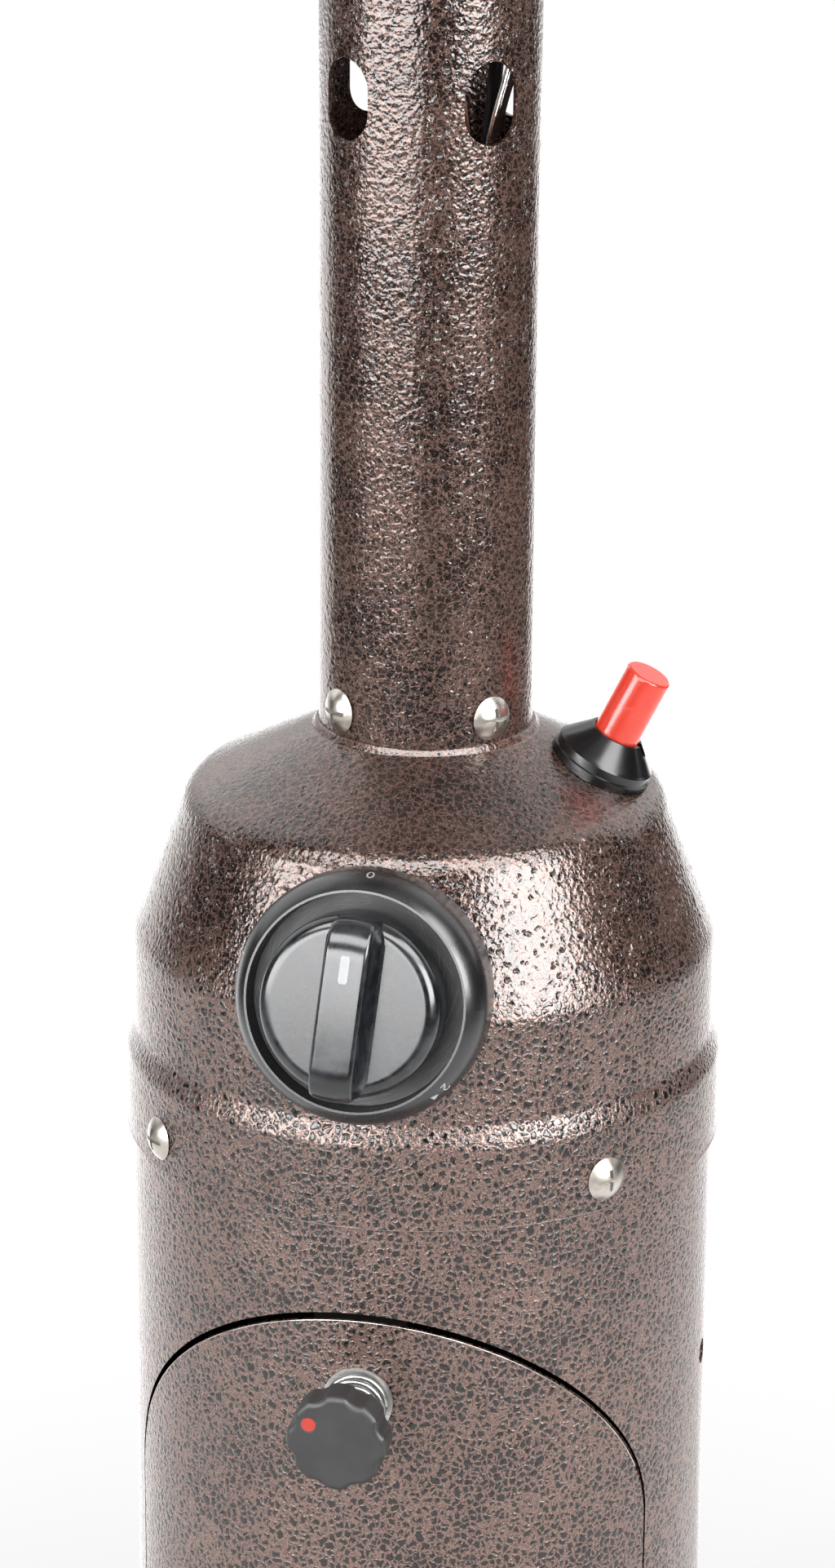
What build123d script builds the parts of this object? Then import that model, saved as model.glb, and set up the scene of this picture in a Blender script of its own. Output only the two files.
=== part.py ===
from build123d import *
import math
import os

# A tabletop propane patio heater: a weighted round base, a cylinder housing with a lift-out
# door, a domed control housing with its knob and igniter, a pole, and a burner head under a
# wide reflector.  +Z is up, the front (door and knob) faces -Y, and the origin is the middle
# of the footprint on the table.  All sizes are in millimetres, angles in degrees.
# An azimuth is measured from the front (-Y) towards the right-hand side (+X).

# ---- clearances ----
SLIP = 0.3              # between curved faces of separate pieces
SEAT = 0.1              # between a piece and what it sits on
HINGE_RUNNING = 0.05    # radial play of a shaft in its bearing

# ---- base ----
FOOT_HEIGHT = 8.0
FOOT_RADIUS = 11.0
FOOT_EDGE_ROUND = 1.5
FOOT_INSET = 18.0              # from the weight's rim to a foot's centre
FOOT_STUD_RADIUS = 4.0
FOOT_STUD_LENGTH = 6.0
FOOT_COUNT = 4
BASE_RADIUS = 145.0
BASE_LIFT = 4.0                # from the table to the cover's lower edge
BASE_EDGE_HEIGHT = 8.0
BASE_EDGE_ROUND = 4.0
BASE_FLAT_RADIUS = 92.0
BASE_SHEET = 1.5
WEIGHT_THICKNESS = 28.5
WEIGHT_INSET = 15.0            # from the cover's edge to the weight's rim
WEIGHT_TOP_INSET = 6.0         # from the edge of the cover's flat to the weight's
WEIGHT_GAP = 1.2               # under the cover's slope
WEIGHT_BORE_RADIUS = 50.0
BASE_BOLT_INSET = 9.9          # from the housing's inner wall to a bolt's centre
BASE_BOLT_RADIUS = 3.0
BASE_BOLT_LENGTH = 24.0
BASE_BOLT_HEAD_RADIUS = 5.1
BASE_BOLT_HEAD_HEIGHT = 3.0
BASE_BOLT_TAIL = 1.0           # of the bolt below its nut
BASE_NUT_FLATS = 10.0
BASE_NUT_HEIGHT = 5.0
BASE_NUT_ROOM = 4.0            # round a nut in its pocket

# ---- cylinder housing and door ----
BODY_RADIUS = 79.1
BODY_SHEET = 1.2
BODY_HEIGHT = 213.0
FLOOR_FLANGE_WIDTH = 17.0
DOOR_SILL_HEIGHT = 14.0        # above the housing's floor
DOOR_HALF_ANGLE = 62.56        # half of the opening's width, round the housing
DOOR_TOP_MARGIN = 24.8         # from the arch to the control housing's rim
DOOR_SIDE_GAP = 0.35
DOOR_DROP = 1.9
DOOR_BOTTOM_GAP = 0.4
SIDE_VENT_RADIUS = 3.5
SIDE_VENT_DROP = 63.4          # below the control housing's rim
HOOK_WIDTH = 14.0
HOOK_OFFSET = 26.0
HOOK_BELOW_SILL = 8.0
HOOK_ABOVE_SILL = 8.0
HOOK_SHEET = 1.0
HOOK_JOINT_LOW = 2.0           # from the door's lower edge to the hooks' weld

# ---- door latch: a sprung star knob with a cross pin behind a slotted tab ----
LATCH_DROP = 24.6              # below the top of the door's arch
LATCH_STANDOFF = 26.9          # from the housing's face to the knob's face
STAR_RADIUS = 13.2
STAR_THICKNESS = 9.0
STAR_LOBES = 8
STAR_SCALLOP_RADIUS = 4.75
STAR_SCALLOP_DEPTH = 0.95
STAR_LOBE_ROUND = 1.6
STAR_EDGE_ROUND = 1.5
STAR_FACE_WALL = 3.0           # of the knob in front of its shaft
STAR_DOT_RADIUS = 1.9
STAR_DOT_OFFSET = 8.6
STAR_DOT_CLOCK = 55.0          # anticlockwise from the top
STAR_DOT_DEPTH = 0.5
STAR_DOT_RISE = 0.1
LATCH_SHAFT_RADIUS = 2.5
LATCH_SHAFT_TAIL = 4.0         # of the shaft behind the pin's axis
LATCH_PIN_RADIUS = 1.5
LATCH_PIN_LENGTH = 14.0
LATCH_PIN_GAP = 0.6            # between the tab and the pin
LATCH_SPRING_RADIUS = 8.5
LATCH_SPRING_WIRE = 1.6
LATCH_SPRING_PITCH = 3.2
LATCH_WASHER_RADIUS = 9.4
LATCH_WASHER_THICKNESS = 0.8
LATCH_TAB_SHEET = 1.4
LATCH_TAB_STEP = 0.4           # between the housing's wall and the tab
LATCH_TAB_HALF_ANGLE = 9.0
LATCH_TAB_BELOW = 15.0         # below the knob's axis
LATCH_TAB_ABOVE = 16.4         # above the top of the door's arch
LATCH_TAB_WELD_GAP = 3.0       # from the arch to the tab's weld
LATCH_SLOT_END_ROOM = 1.6
LATCH_SLOT_SIDE_ROOM = 0.9

# ---- control housing, from its rim up to its neck ----
DOME_SHEET = 1.0
DOME_OVERLAP = 20.6            # over the cylinder housing
DOME_RIM_GAP = 0.5
DOME_RIM_HEIGHT = 23.1
DOME_STEP_HEIGHT = 5.5
DOME_BELT_HEIGHT = 27.3
DOME_BELT_INSET = 0.6          # of the belt from the cylinder housing's face
DOME_STEEP_HEIGHT = 40.4
DOME_STEEP_INSET = 14.95
DOME_SHOULDER_HEIGHT = 16.26
DOME_COLLAR_HEIGHT = 2.04
DOME_COLLAR_WIDTH = 1.825      # beyond the pole, at its foot
DOME_SEAT_WIDTH = 0.625        # beyond the pole, at its top
DOME_SHOULDER_ROUND = 11.0
DOME_BELT_ROUND = 12.0
DOME_STEP_ROUND = 5.0
DOME_COLLAR_ROUND = 1.0
SPIGOT_HEIGHT = 24.0
SPIGOT_GAP = 0.15
COLLAR_SCREW_AZIMUTH = 48.5
COLLAR_SCREW_HEIGHT = 8.6      # above the rim's lower edge

# ---- pole ----
POLE_RADIUS = 28.575
POLE_SHEET = 1.2
POLE_LENGTH = 295.0
POLE_TURN = 4.0
POLE_SCREW_HEIGHT = 6.5
VENT_WIDTH = 15.5
VENT_HEIGHT = 21.2
VENT_CENTRE = 168.5            # above the neck
VENT_AZIMUTHS = (-37.2, 45.2)

# ---- truss-head screws ----
SCREW_HEAD_RADIUS = 6.0
SCREW_HEAD_HEIGHT = 2.5
SCREW_RADIUS = 2.4
SCREW_LENGTH = 8.0
SCREW_SLOT_WIDTH = 1.1
SCREW_SLOT_DEPTH = 1.0
SCREW_NUT_FLATS = 8.0
SCREW_NUT_HEIGHT = 3.2
SCREW_NUT_GAP = 0.6

# ---- dial ring, control knob and valve; heights along the knob's own axis ----
CONTROL_ABOVE_BELT = 6.9
CONTROL_STANDOFF = 0.72        # of the axis's zero from the steep face
CONTROL_TILT = 11.0
DIAL_RADIUS = 33.0
DIAL_FLANK = 4.7               # from the outer edge to the recess
DIAL_LIP_WIDTH = 0.6
DIAL_SEAT = 0.15              # between the housing's face and what is moulded to sit on it
DIAL_LIP = 8.6
DIAL_FLOOR = 2.2
DIAL_BACK = -14.0
DIAL_RECESS_DRAFT = 0.6
KNOB_RING_GAP = 4.8            # between the knob and the recess
KNOB_ABOVE_LIP = 8.4
KNOB_EDGE_ROUND = 3.6
KNOB_PUSH = 3.0
GRIP_HEIGHT = 10.5
GRIP_TOP_WIDTH = 11.4
GRIP_ROOT_WIDTH = 16.4
GRIP_END_SLOPE = 8.0           # from the knob's edge to the end of the grip's top
GRIP_END_ROUND = 5.0
GRIP_EDGE_ROUND = 0.9
GRIP_ROOT_DEPTH = 3.5
STEM_RADIUS = 4.0
STEM_HOLE_ROOM = 2.0
STEM_INSERTION = 8.0           # of the stem in the valve
STEM_END_WALL = 2.0            # of the knob in front of its stem
STEM_COLLAR_RADIUS = 7.0
STEM_COLLAR_THICKNESS = 2.0
STEM_SPRING_RADIUS = 6.6
STEM_SPRING_WIRE = 1.2
STEM_SPRING_PITCH = 2.4
STEM_SPRING_LENGTH = 10.0
VALVE_DEPTH = 18.0             # of the valve's front face behind the axis's zero
VALVE_LENGTH = 34.0
VALVE_WIDTH = 32.0
VALVE_HEIGHT = 30.0
VALVE_CHAMFER = 2.5
MAGNET_RADIUS = 8.0
MAGNET_LENGTH = 16.0
OUTLET_SHARE = 0.62            # of the valve's length, back from its front
OUTLET_OFFSETS = (-7.5, 8.5)
OUTLET_WALL = 2.2
OUTLET_RISE = 4.0
VALVE_SCREW_REACH = 9.0
VALVE_SCREW_RADIUS = 1.5
VALVE_SCREW_HEAD_RADIUS = 3.4
VALVE_SCREW_HEAD_HEIGHT = 2.5
VALVE_SCREW_LENGTH = 8.0

# ---- bracket plate, regulator, feed tube and anti-tip switch ----
PLATE_SHEET = 1.5
PLATE_EDGE_GAP = 3.9
PLATE_DROP = 9.0               # below the collar screws
PLATE_TAB_RISE = 8.0           # above the collar screws
PLATE_TAB_WIDTH = 16.0
PLATE_LIP = 3.0
UPRIGHT_RISE = 13.7            # above the valve's centre
UPRIGHT_WIDTH = 30.0
INLET_THREAD_RADIUS = 12.7
INLET_WALL = 4.3
INLET_LENGTH = 15.0
INLET_DISC_THICKNESS = 3.0
INLET_PORT_RADIUS = 2.0
INLET_CHAMFER = 0.8
REGULATOR_RADIUS = 25.0
REGULATOR_HEIGHT = 16.0
REGULATOR_CAP_RADIUS = 21.0
REGULATOR_CAP_HEIGHT = 7.0
REGULATOR_CAP_ROUND = 2.5
REGULATOR_NECK_RADIUS = 9.0
REGULATOR_NECK_HEIGHT = 5.0
REGULATOR_SPIGOT_RADIUS = 13.0
REGULATOR_SPIGOT_DROP = 1.0    # below the plate
FEED_TUBE_RADIUS = 4.0
FEED_BEND = 12.0
FEED_NUT_FLATS = 14.0
FEED_NUT_HEIGHT = 6.0
TILT_SWITCH_SIZE = (22.0, 16.0, 18.0)
TILT_SWITCH_GAP = 10.0         # from the regulator
TILT_SWITCH_BACK = 14.0
TILT_SWITCH_FLANGE = 3.0
TILT_LEAD_RADIUS = 1.2

# ---- igniter; heights along the button's own axis ----
IGNITER_INSET = 16.2           # from the shoulder's edge towards the pole
IGNITER_AZIMUTH = 90.0
IGNITER_BUTTON_RADIUS = 6.2
IGNITER_BUTTON_TOP = 29.3
IGNITER_BUTTON_BOTTOM = -6.0
IGNITER_BUTTON_ROUND = 0.9
IGNITER_COLLAR_HEIGHT = 10.3
IGNITER_COLLAR_WALL = 1.1
IGNITER_COLLAR_FOOT = 0.9
IGNITER_FLANGE_RADIUS = 13.9
IGNITER_FLANGE_HEIGHT = 4.6
IGNITER_FLANGE_STEP = 0.5
IGNITER_FLANGE_BAND = 1.6
IGNITER_CONE_INSET = 1.05
IGNITER_SLOT_WIDTH = 3.0
IGNITER_SLOT_DEPTH = 2.4
IGNITER_BARREL_WALL = 2.0
IGNITER_BARREL_TOP = 2.0
IGNITER_BARREL_BOTTOM = -40.0
IGNITER_SPRING_LENGTH = 12.0
IGNITER_SPRING_WIRE = 1.0
IGNITER_SPRING_PITCH = 2.6
IGNITER_NUT_FLATS = 24.0
IGNITER_NUT_HEIGHT = 5.0

# ---- tubes and wires in the pole ----
MAIN_TUBE_RADIUS = 4.0
PILOT_TUBE_RADIUS = 1.6
THERMOCOUPLE_RADIUS = 1.3
WIRE_RADIUS = 1.9
SOCKET_DEPTH = 3.0             # of a tube or wire in what it ends in
SERVICE_HOLE_INSET = 4.9       # from the pole's inner wall
SERVICE_HOLE_ROOM = 0.8
PILOT_AZIMUTHS = (58, 90, 122)  # of the thermocouple's, pilot's and wire's holes

# ---- burner head ----
CUP_COLLAR_LENGTH = 22.0
CUP_COLLAR_GAP = 0.2
CUP_SHEET = 1.2
CUP_FLOOR_WIDTH = 6.0          # beyond the emitter screen
CUP_FLARE = 12.0
CUP_RIM_HEIGHT = 24.0
CUP_RIM_ROLL = 2.0
ORIFICE_DROP = 92.0            # below the pole's top
ORIFICE_LENGTH = 16.0
ORIFICE_FLATS = 16.0
ORIFICE_HEX_HEIGHT = 9.0
ORIFICE_NOZZLE_HEIGHT = 4.0
ORIFICE_RADIUS = 0.6
VENTURI_RADIUS = 10.0
VENTURI_SHEET = 1.0
VENTURI_WINDOW_WIDTH = 7.0
VENTURI_WINDOW_HEIGHT = 12.0
VENTURI_WINDOW_RISE = 9.0      # of its centre above the orifice
VENTURI_FLANGE_RADIUS = 17.0
VENTURI_FLANGE_SHEET = 1.5
VENTURI_INSERTION = 2.0        # of the mixing tube in the burner
BURNER_RISE = 26.8             # above the cup's floor
BURNER_RADIUS = 32.0
BURNER_HEIGHT = 30.0
BURNER_SHEET = 1.2
BURNER_CRIMP = 2.0
BURNER_SLOTS = 24
BURNER_SLOT_WIDTH = 2.4
BURNER_SLOT_LOW = 9.0
BURNER_SLOT_HIGH = 7.0         # below the burner's top
PILOT_SHELF_RISE = 48.8        # above the cup's floor
PILOT_SCREEN_GAP = 3.2         # between the bracket and the emitter screen
PILOT_SPACING = 9.0
PILOT_BRACKET_WIDTH = 24.0
PILOT_BRACKET_DEPTH = 13.0
PILOT_BRACKET_SHEET = 1.2
PILOT_BACK_GAP = 7.0           # from the bracket's back to the pilot's axis
PILOT_TAIL = 16.0              # of the pilot's pieces below the shelf
PILOT_BODY_RADIUS = 3.6
PILOT_NUT_FLATS = 9.0
PILOT_HOOD_RISE = 12.0
THERMOCOUPLE_TIP_RADIUS = 2.5
THERMOCOUPLE_TIP_RISE = 14.0
ELECTRODE_RADIUS = 3.0
ELECTRODE_RISE = 9.0
ELECTRODE_WIRE_RADIUS = 0.8
ELECTRODE_WIRE_RISE = 15.0
ELECTRODE_WIRE_REACH = 4.2
SCREEN_RADIUS = 58.0
SCREEN_SHEET = 0.8
SCREEN_HEIGHT = 184.8
CAP_RIM_DROP = 10.0
CAP_SHEET = 1.2
CAP_GAP = 0.2
STUD_INSET = 13.0              # from the emitter screen
STUD_COUNT = 3
STUD_FLATS = 8.0
STUD_LENGTH = 40.8
STUD_TIP_RADIUS = 2.9
STUD_TIP_LENGTH = 16.0
STUD_TAIL = 6.0
REFLECTOR_RADIUS = 270.0
REFLECTOR_FLAT_RADIUS = 62.0
REFLECTOR_DROP = 50.0
REFLECTOR_SHEET = 1.0
REFLECTOR_ROLL = 3.0
WASHER_RADIUS = 9.0
WASHER_THICKNESS = 1.2
WING_NUT_RADIUS = 6.0
WING_NUT_HEIGHT = 7.0
WING_SPAN = 26.0
WING_HEIGHT = 11.0
WING_THICKNESS = 2.2
WING_ROUND = 1.5
WING_TURN = 40.0

# ---- heights worked out from the sizes above ----
BASE_TOP = FOOT_HEIGHT + WEIGHT_THICKNESS + BASE_SHEET
BASE_EDGE_TOP = BASE_LIFT + BASE_EDGE_HEIGHT
BODY_TOP = BASE_TOP + BODY_HEIGHT
RIM_BOTTOM = BODY_TOP - DOME_OVERLAP
STEP_BOTTOM = RIM_BOTTOM + DOME_RIM_HEIGHT
STEP_TOP = STEP_BOTTOM + DOME_STEP_HEIGHT
BELT_TOP = STEP_TOP + DOME_BELT_HEIGHT
STEEP_TOP = BELT_TOP + DOME_STEEP_HEIGHT
SHOULDER_TOP = STEEP_TOP + DOME_SHOULDER_HEIGHT
NECK = SHOULDER_TOP + DOME_COLLAR_HEIGHT
COLLAR_SCREW_Z = RIM_BOTTOM + COLLAR_SCREW_HEIGHT
PLATE_BOTTOM = COLLAR_SCREW_Z - PLATE_DROP
PLATE_TOP = PLATE_BOTTOM + PLATE_SHEET
REGULATOR_SHOULDER = PLATE_TOP + REGULATOR_HEIGHT
REGULATOR_TOP = REGULATOR_SHOULDER + REGULATOR_CAP_HEIGHT
POLE_TOP = NECK + POLE_LENGTH
CUP_FLOOR_TOP = POLE_TOP + CUP_SHEET
CUP_SCREW_Z = POLE_TOP - CUP_COLLAR_LENGTH / 2
ORIFICE_BOTTOM = POLE_TOP - ORIFICE_DROP
ORIFICE_TOP = ORIFICE_BOTTOM + ORIFICE_LENGTH
BURNER_BOTTOM = CUP_FLOOR_TOP + BURNER_RISE
PILOT_SHELF = CUP_FLOOR_TOP + PILOT_SHELF_RISE
SCREEN_TOP = CUP_FLOOR_TOP + SCREEN_HEIGHT
CAP_TOP = SCREEN_TOP + CAP_SHEET
CROWN = CAP_TOP + STUD_LENGTH

# ---- radii and places worked out from the sizes above ----
WEIGHT_RADIUS = BASE_RADIUS - WEIGHT_INSET
BODY_INNER = BODY_RADIUS - BODY_SHEET
DOOR_ARCH_RADIUS = BODY_RADIUS * math.sin(math.radians(DOOR_HALF_ANGLE))
DOOR_SILL = BASE_TOP + DOOR_SILL_HEIGHT
DOOR_ARCH_TOP = RIM_BOTTOM - DOOR_TOP_MARGIN
DOOR_ARCH_CENTRE = DOOR_ARCH_TOP - DOOR_ARCH_RADIUS
LATCH_Z = DOOR_ARCH_TOP - LATCH_DROP
LATCH_TAB_OUTER = BODY_INNER - LATCH_TAB_STEP
LATCH_PIN_DEPTH = LATCH_TAB_OUTER - LATCH_TAB_SHEET - LATCH_PIN_GAP - LATCH_PIN_RADIUS
STAR_FACE = BODY_RADIUS + LATCH_STANDOFF
STAR_BACK = STAR_FACE - STAR_THICKNESS
SEAT_WASHER_LOW = BODY_RADIUS + SEAT
PUSH_WASHER_LOW = STAR_BACK - SEAT - LATCH_WASHER_THICKNESS
DOME_RIM_RADIUS = BODY_RADIUS + DOME_RIM_GAP + DOME_SHEET
BELT_RADIUS = BODY_RADIUS - DOME_BELT_INSET
STEEP_TOP_RADIUS = BELT_RADIUS - DOME_STEEP_INSET
SHOULDER_TOP_RADIUS = POLE_RADIUS + DOME_COLLAR_WIDTH
POLE_INNER = POLE_RADIUS - POLE_SHEET
SPIGOT_RADIUS = POLE_INNER - SPIGOT_GAP
SPIGOT_BORE = SPIGOT_RADIUS - DOME_SHEET
PLATE_RADIUS = BODY_INNER - PLATE_EDGE_GAP
INLET_RADIUS = INLET_THREAD_RADIUS + INLET_WALL
INLET_TOP = PLATE_BOTTOM - REGULATOR_SPIGOT_DROP
INLET_BOTTOM = INLET_TOP - INLET_DISC_THICKNESS - INLET_LENGTH
RECESS_RADIUS = DIAL_RADIUS - DIAL_FLANK
KNOB_RADIUS = RECESS_RADIUS - KNOB_RING_GAP
KNOB_BOTTOM = DIAL_FLOOR + KNOB_PUSH + SLIP
KNOB_FACE = DIAL_LIP + KNOB_ABOVE_LIP
GRIP_TOP = KNOB_FACE + GRIP_HEIGHT
STEM_OUTER_END = KNOB_FACE - STEM_END_WALL
STEM_INNER_END = -VALVE_DEPTH - STEM_INSERTION
STEM_COLLAR_LOW = -VALVE_DEPTH + STEM_SPRING_LENGTH
VALVE_REAR = -VALVE_DEPTH - VALVE_LENGTH
VALVE_MIDDLE = -VALVE_DEPTH - VALVE_LENGTH / 2
SERVICE_HOLE_RADIUS = POLE_INNER - SERVICE_HOLE_INSET
CUP_FLOOR_RADIUS = SCREEN_RADIUS + CUP_FLOOR_WIDTH
CUP_RIM_RADIUS = CUP_FLOOR_RADIUS + CUP_FLARE
CUP_BORE = POLE_RADIUS + CUP_COLLAR_GAP
PILOT_BACK = SCREEN_RADIUS - SCREEN_SHEET - PILOT_SCREEN_GAP
PILOT_RADIUS = PILOT_BACK - PILOT_BACK_GAP
PILOT_FOOT = PILOT_SHELF - PILOT_TAIL
STUD_CIRCLE = SCREEN_RADIUS - STUD_INSET
COLLAR_AZIMUTHS = (
    COLLAR_SCREW_AZIMUTH, 180 - COLLAR_SCREW_AZIMUTH, 180 + COLLAR_SCREW_AZIMUTH, -COLLAR_SCREW_AZIMUTH,
)
POLE_AZIMUTHS = tuple(POLE_TURN + 45 + 90 * k for k in range(4))


def polar(radius, azimuth, height):
    """Point at a radius and height, with its azimuth measured from the front."""
    angle = math.radians(azimuth)
    return Vector(radius * math.sin(angle), -radius * math.cos(angle), height)


def outward(azimuth, tilt=0.0):
    """Unit vector that points away from the pole's axis, tilted up by an angle."""
    flat = math.cos(math.radians(tilt))
    return polar(flat, azimuth, math.sin(math.radians(tilt)))


def face_plane(radius, azimuth, height, tilt=0.0):
    """Plane on an outside face: its z points outwards and its x runs round the body."""
    side = polar(1, azimuth + 90, 0)
    return Plane(origin=polar(radius, azimuth, height), x_dir=side, z_dir=outward(azimuth, tilt))


CONTROL_PLANE = face_plane(
    BELT_RADIUS - CONTROL_ABOVE_BELT * DOME_STEEP_INSET / DOME_STEEP_HEIGHT + CONTROL_STANDOFF,
    0, BELT_TOP + CONTROL_ABOVE_BELT, CONTROL_TILT,
)
SHOULDER_SLOPE = DOME_SHOULDER_HEIGHT / (STEEP_TOP_RADIUS - SHOULDER_TOP_RADIUS)
IGNITER_PLANE = face_plane(
    STEEP_TOP_RADIUS - IGNITER_INSET, IGNITER_AZIMUTH, STEEP_TOP + SHOULDER_SLOPE * IGNITER_INSET,
    90 - math.degrees(math.atan(SHOULDER_SLOPE)),
)
LATCH_PLANE = face_plane(0, 0, LATCH_Z)


def turned(points, plane=Plane.XY):
    """Solid of revolution about a plane's z axis from (radius, height) points."""
    profile = make_face(Polyline(*[(r, 0, z) for r, z in points], close=True))
    return plane * revolve(profile, Axis.Z)


def disc(radius, low, high, plane=Plane.XY):
    """Cylinder between two heights on a plane's axis."""
    return plane * Pos(0, 0, (low + high) / 2) * Cylinder(radius, high - low)


def ring(outer, inner, low, high, plane=Plane.XY):
    """Tube between two heights on a plane's axis."""
    return disc(outer, low, high, plane) - disc(inner, low - 1, high + 1, plane)


def box(corner, opposite, plane=Plane.XY):
    """Box from one corner to the opposite one, on a plane."""
    size = [b - a for a, b in zip(corner, opposite)]
    middle = [(a + b) / 2 for a, b in zip(corner, opposite)]
    return plane * Pos(*middle) * Box(*size)


def hexagon(flats, low, high, plane=Plane.XY):
    """Hexagonal bar of a given width across its flats."""
    sketch = RegularPolygon(flats / 2, 6, major_radius=False)
    return plane * Pos(0, 0, low) * extrude(sketch, high - low)


def coil(radius, wire, pitch, low, high, plane):
    """Compression spring whose outer radius and two ends are given."""
    path = Helix(pitch=pitch, height=high - low - wire, radius=radius - wire / 2)
    section = Plane(origin=path @ 0, z_dir=path % 0) * Circle(wire / 2)
    return plane * Pos(0, 0, low + wire / 2) * sweep(section, path)


def group(solids):
    """Several separate solids kept together as one node."""
    parts = [solid for item in solids for solid in item.solids()]
    return Compound(children=parts)


def bend_radii(points):
    """Largest easy arc at each corner of a route, from its two runs and its turn."""
    radii = []
    for before, here, after in zip(points, points[1:], points[2:]):
        first, second = here - before, after - here
        turn = math.radians(first.get_angle(second))
        radii.append(0.45 * min(first.length, second.length) / math.tan(turn / 2))
    return radii


def tube(name, points, radius):
    """Round bar along straight runs joined by tangent arcs."""
    route = [Vector(*point) for point in points]
    radii = bend_radii(route)
    print(f"{name}: bends {', '.join(f'{value:.0f}' for value in radii)}")
    path = FilletPolyline(*route, radius=radii)
    section = Plane(origin=path @ 0, z_dir=path % 0) * Circle(radius)
    return sweep(section, path)


# ---- fasteners ----
def truss_screw(plane, length=SCREW_LENGTH):
    """Truss-head screw with a combined slot and cross; the head sits on the plane."""
    dome = (SCREW_HEAD_RADIUS**2 + SCREW_HEAD_HEIGHT**2) / (2 * SCREW_HEAD_HEIGHT)
    head = Pos(0, 0, SCREW_HEAD_HEIGHT - dome) * Sphere(dome)
    head &= disc(SCREW_HEAD_RADIUS + 1, SEAT, SCREW_HEAD_HEIGHT)
    reach = SCREW_HEAD_RADIUS
    low = SCREW_HEAD_HEIGHT - SCREW_SLOT_DEPTH
    slot = box((-reach, -SCREW_SLOT_WIDTH / 2, low), (reach, SCREW_SLOT_WIDTH / 2, low + 3))
    cross = box((-SCREW_SLOT_WIDTH / 2, -reach / 2, low), (SCREW_SLOT_WIDTH / 2, reach / 2, low + 3))
    return plane * (head - slot - cross + disc(SCREW_RADIUS, -length, SEAT + 0.5))


def hex_nut(plane, low, high, flats, bore):
    """Hexagonal nut on a plane's axis."""
    return hexagon(flats, low, high, plane) - disc(bore, low - 1, high + 1, plane)


# ---- base ----
def foot_points():
    """Where the feet stand, on a circle about the pole's axis."""
    return [polar(WEIGHT_RADIUS - FOOT_INSET, 45 + k * 360 / FOOT_COUNT, 0) for k in range(FOOT_COUNT)]


def base_bolt_points():
    """Where the floor bolts pass through the housing floor, the base and the weight."""
    return [polar(BODY_INNER - BASE_BOLT_INSET, 45 + 90 * k, 0) for k in range(4)]


def cover_slope():
    """Fall of the base cover's slope for each millimetre outwards."""
    return (BASE_TOP - BASE_EDGE_TOP) / (BASE_RADIUS - BASE_FLAT_RADIUS)


def base_plate():
    """Spun steel cover over the weight, with a flat top and a rounded edge."""
    lean = math.hypot(1, cover_slope())
    lift = BASE_SHEET * (lean - 1) / cover_slope()
    drop = BASE_SHEET * (lean - cover_slope())
    shell = turned([
        (0, BASE_LIFT), (BASE_RADIUS, BASE_LIFT), (BASE_RADIUS, BASE_EDGE_TOP), (BASE_FLAT_RADIUS, BASE_TOP),
        (0, BASE_TOP),
    ])
    edge = shell.edges().filter_by(lambda item: item.length > 2 * math.pi * (BASE_RADIUS - 1))
    shell = fillet(edge.sort_by(Axis.Z)[-1:], BASE_EDGE_ROUND)
    inside = BASE_RADIUS - BASE_SHEET
    shell -= turned([
        (0, 0), (inside, 0), (inside, BASE_EDGE_TOP - drop),
        (BASE_FLAT_RADIUS - lift, BASE_TOP - BASE_SHEET), (0, BASE_TOP - BASE_SHEET),
    ])
    for point in base_bolt_points():
        shell -= Pos(point.X, point.Y, 0) * disc(BASE_BOLT_RADIUS + SLIP, BASE_EDGE_TOP, BASE_TOP + 1)
    return shell


def base_weight():
    """Cast-iron ring under the base cover, with pockets for the bolts and the feet."""
    under = BASE_TOP - BASE_SHEET
    gap = BASE_SHEET * math.hypot(1, cover_slope()) + WEIGHT_GAP
    weight = turned([
        (WEIGHT_BORE_RADIUS, FOOT_HEIGHT), (WEIGHT_RADIUS, FOOT_HEIGHT),
        (WEIGHT_RADIUS, BASE_EDGE_TOP + cover_slope() * WEIGHT_INSET - gap),
        (BASE_FLAT_RADIUS - WEIGHT_TOP_INSET, under), (WEIGHT_BORE_RADIUS, under),
    ])
    for point in base_bolt_points():
        here = Pos(point.X, point.Y, 0)
        weight -= here * disc(BASE_BOLT_RADIUS + SLIP, 0, BASE_TOP)
        weight -= here * disc(BASE_NUT_FLATS / 2 + BASE_NUT_ROOM, 0, base_nut_low() + BASE_NUT_HEIGHT)
    for point in foot_points():
        pocket = disc(FOOT_STUD_RADIUS + SEAT, 0, FOOT_HEIGHT + FOOT_STUD_LENGTH + 1)
        weight -= Pos(point.X, point.Y, 0) * pocket
    return weight


def base_nut_low():
    """Lower face of the nuts on the floor bolts."""
    return BASE_TOP + BODY_SHEET - BASE_BOLT_LENGTH + BASE_BOLT_TAIL


def rubber_feet():
    """Round feet, each with a stud that plugs into the weight."""
    feet = []
    for point in foot_points():
        pad = disc(FOOT_RADIUS, 0, FOOT_HEIGHT)
        pad = fillet(pad.edges().sort_by(Axis.Z)[:1], FOOT_EDGE_ROUND)
        stud = disc(FOOT_STUD_RADIUS, FOOT_HEIGHT - 1, FOOT_HEIGHT + FOOT_STUD_LENGTH)
        feet.append(Pos(point.X, point.Y, 0) * (pad + stud))
    return group(feet)


def base_bolts():
    """Pan-head bolts that hold the housing down to the weight."""
    top = BASE_TOP + BODY_SHEET
    bolt = disc(BASE_BOLT_RADIUS, top - BASE_BOLT_LENGTH, top)
    bolt += disc(BASE_BOLT_HEAD_RADIUS, top, top + BASE_BOLT_HEAD_HEIGHT)
    return group(Pos(point.X, point.Y, 0) * bolt for point in base_bolt_points())


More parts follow.
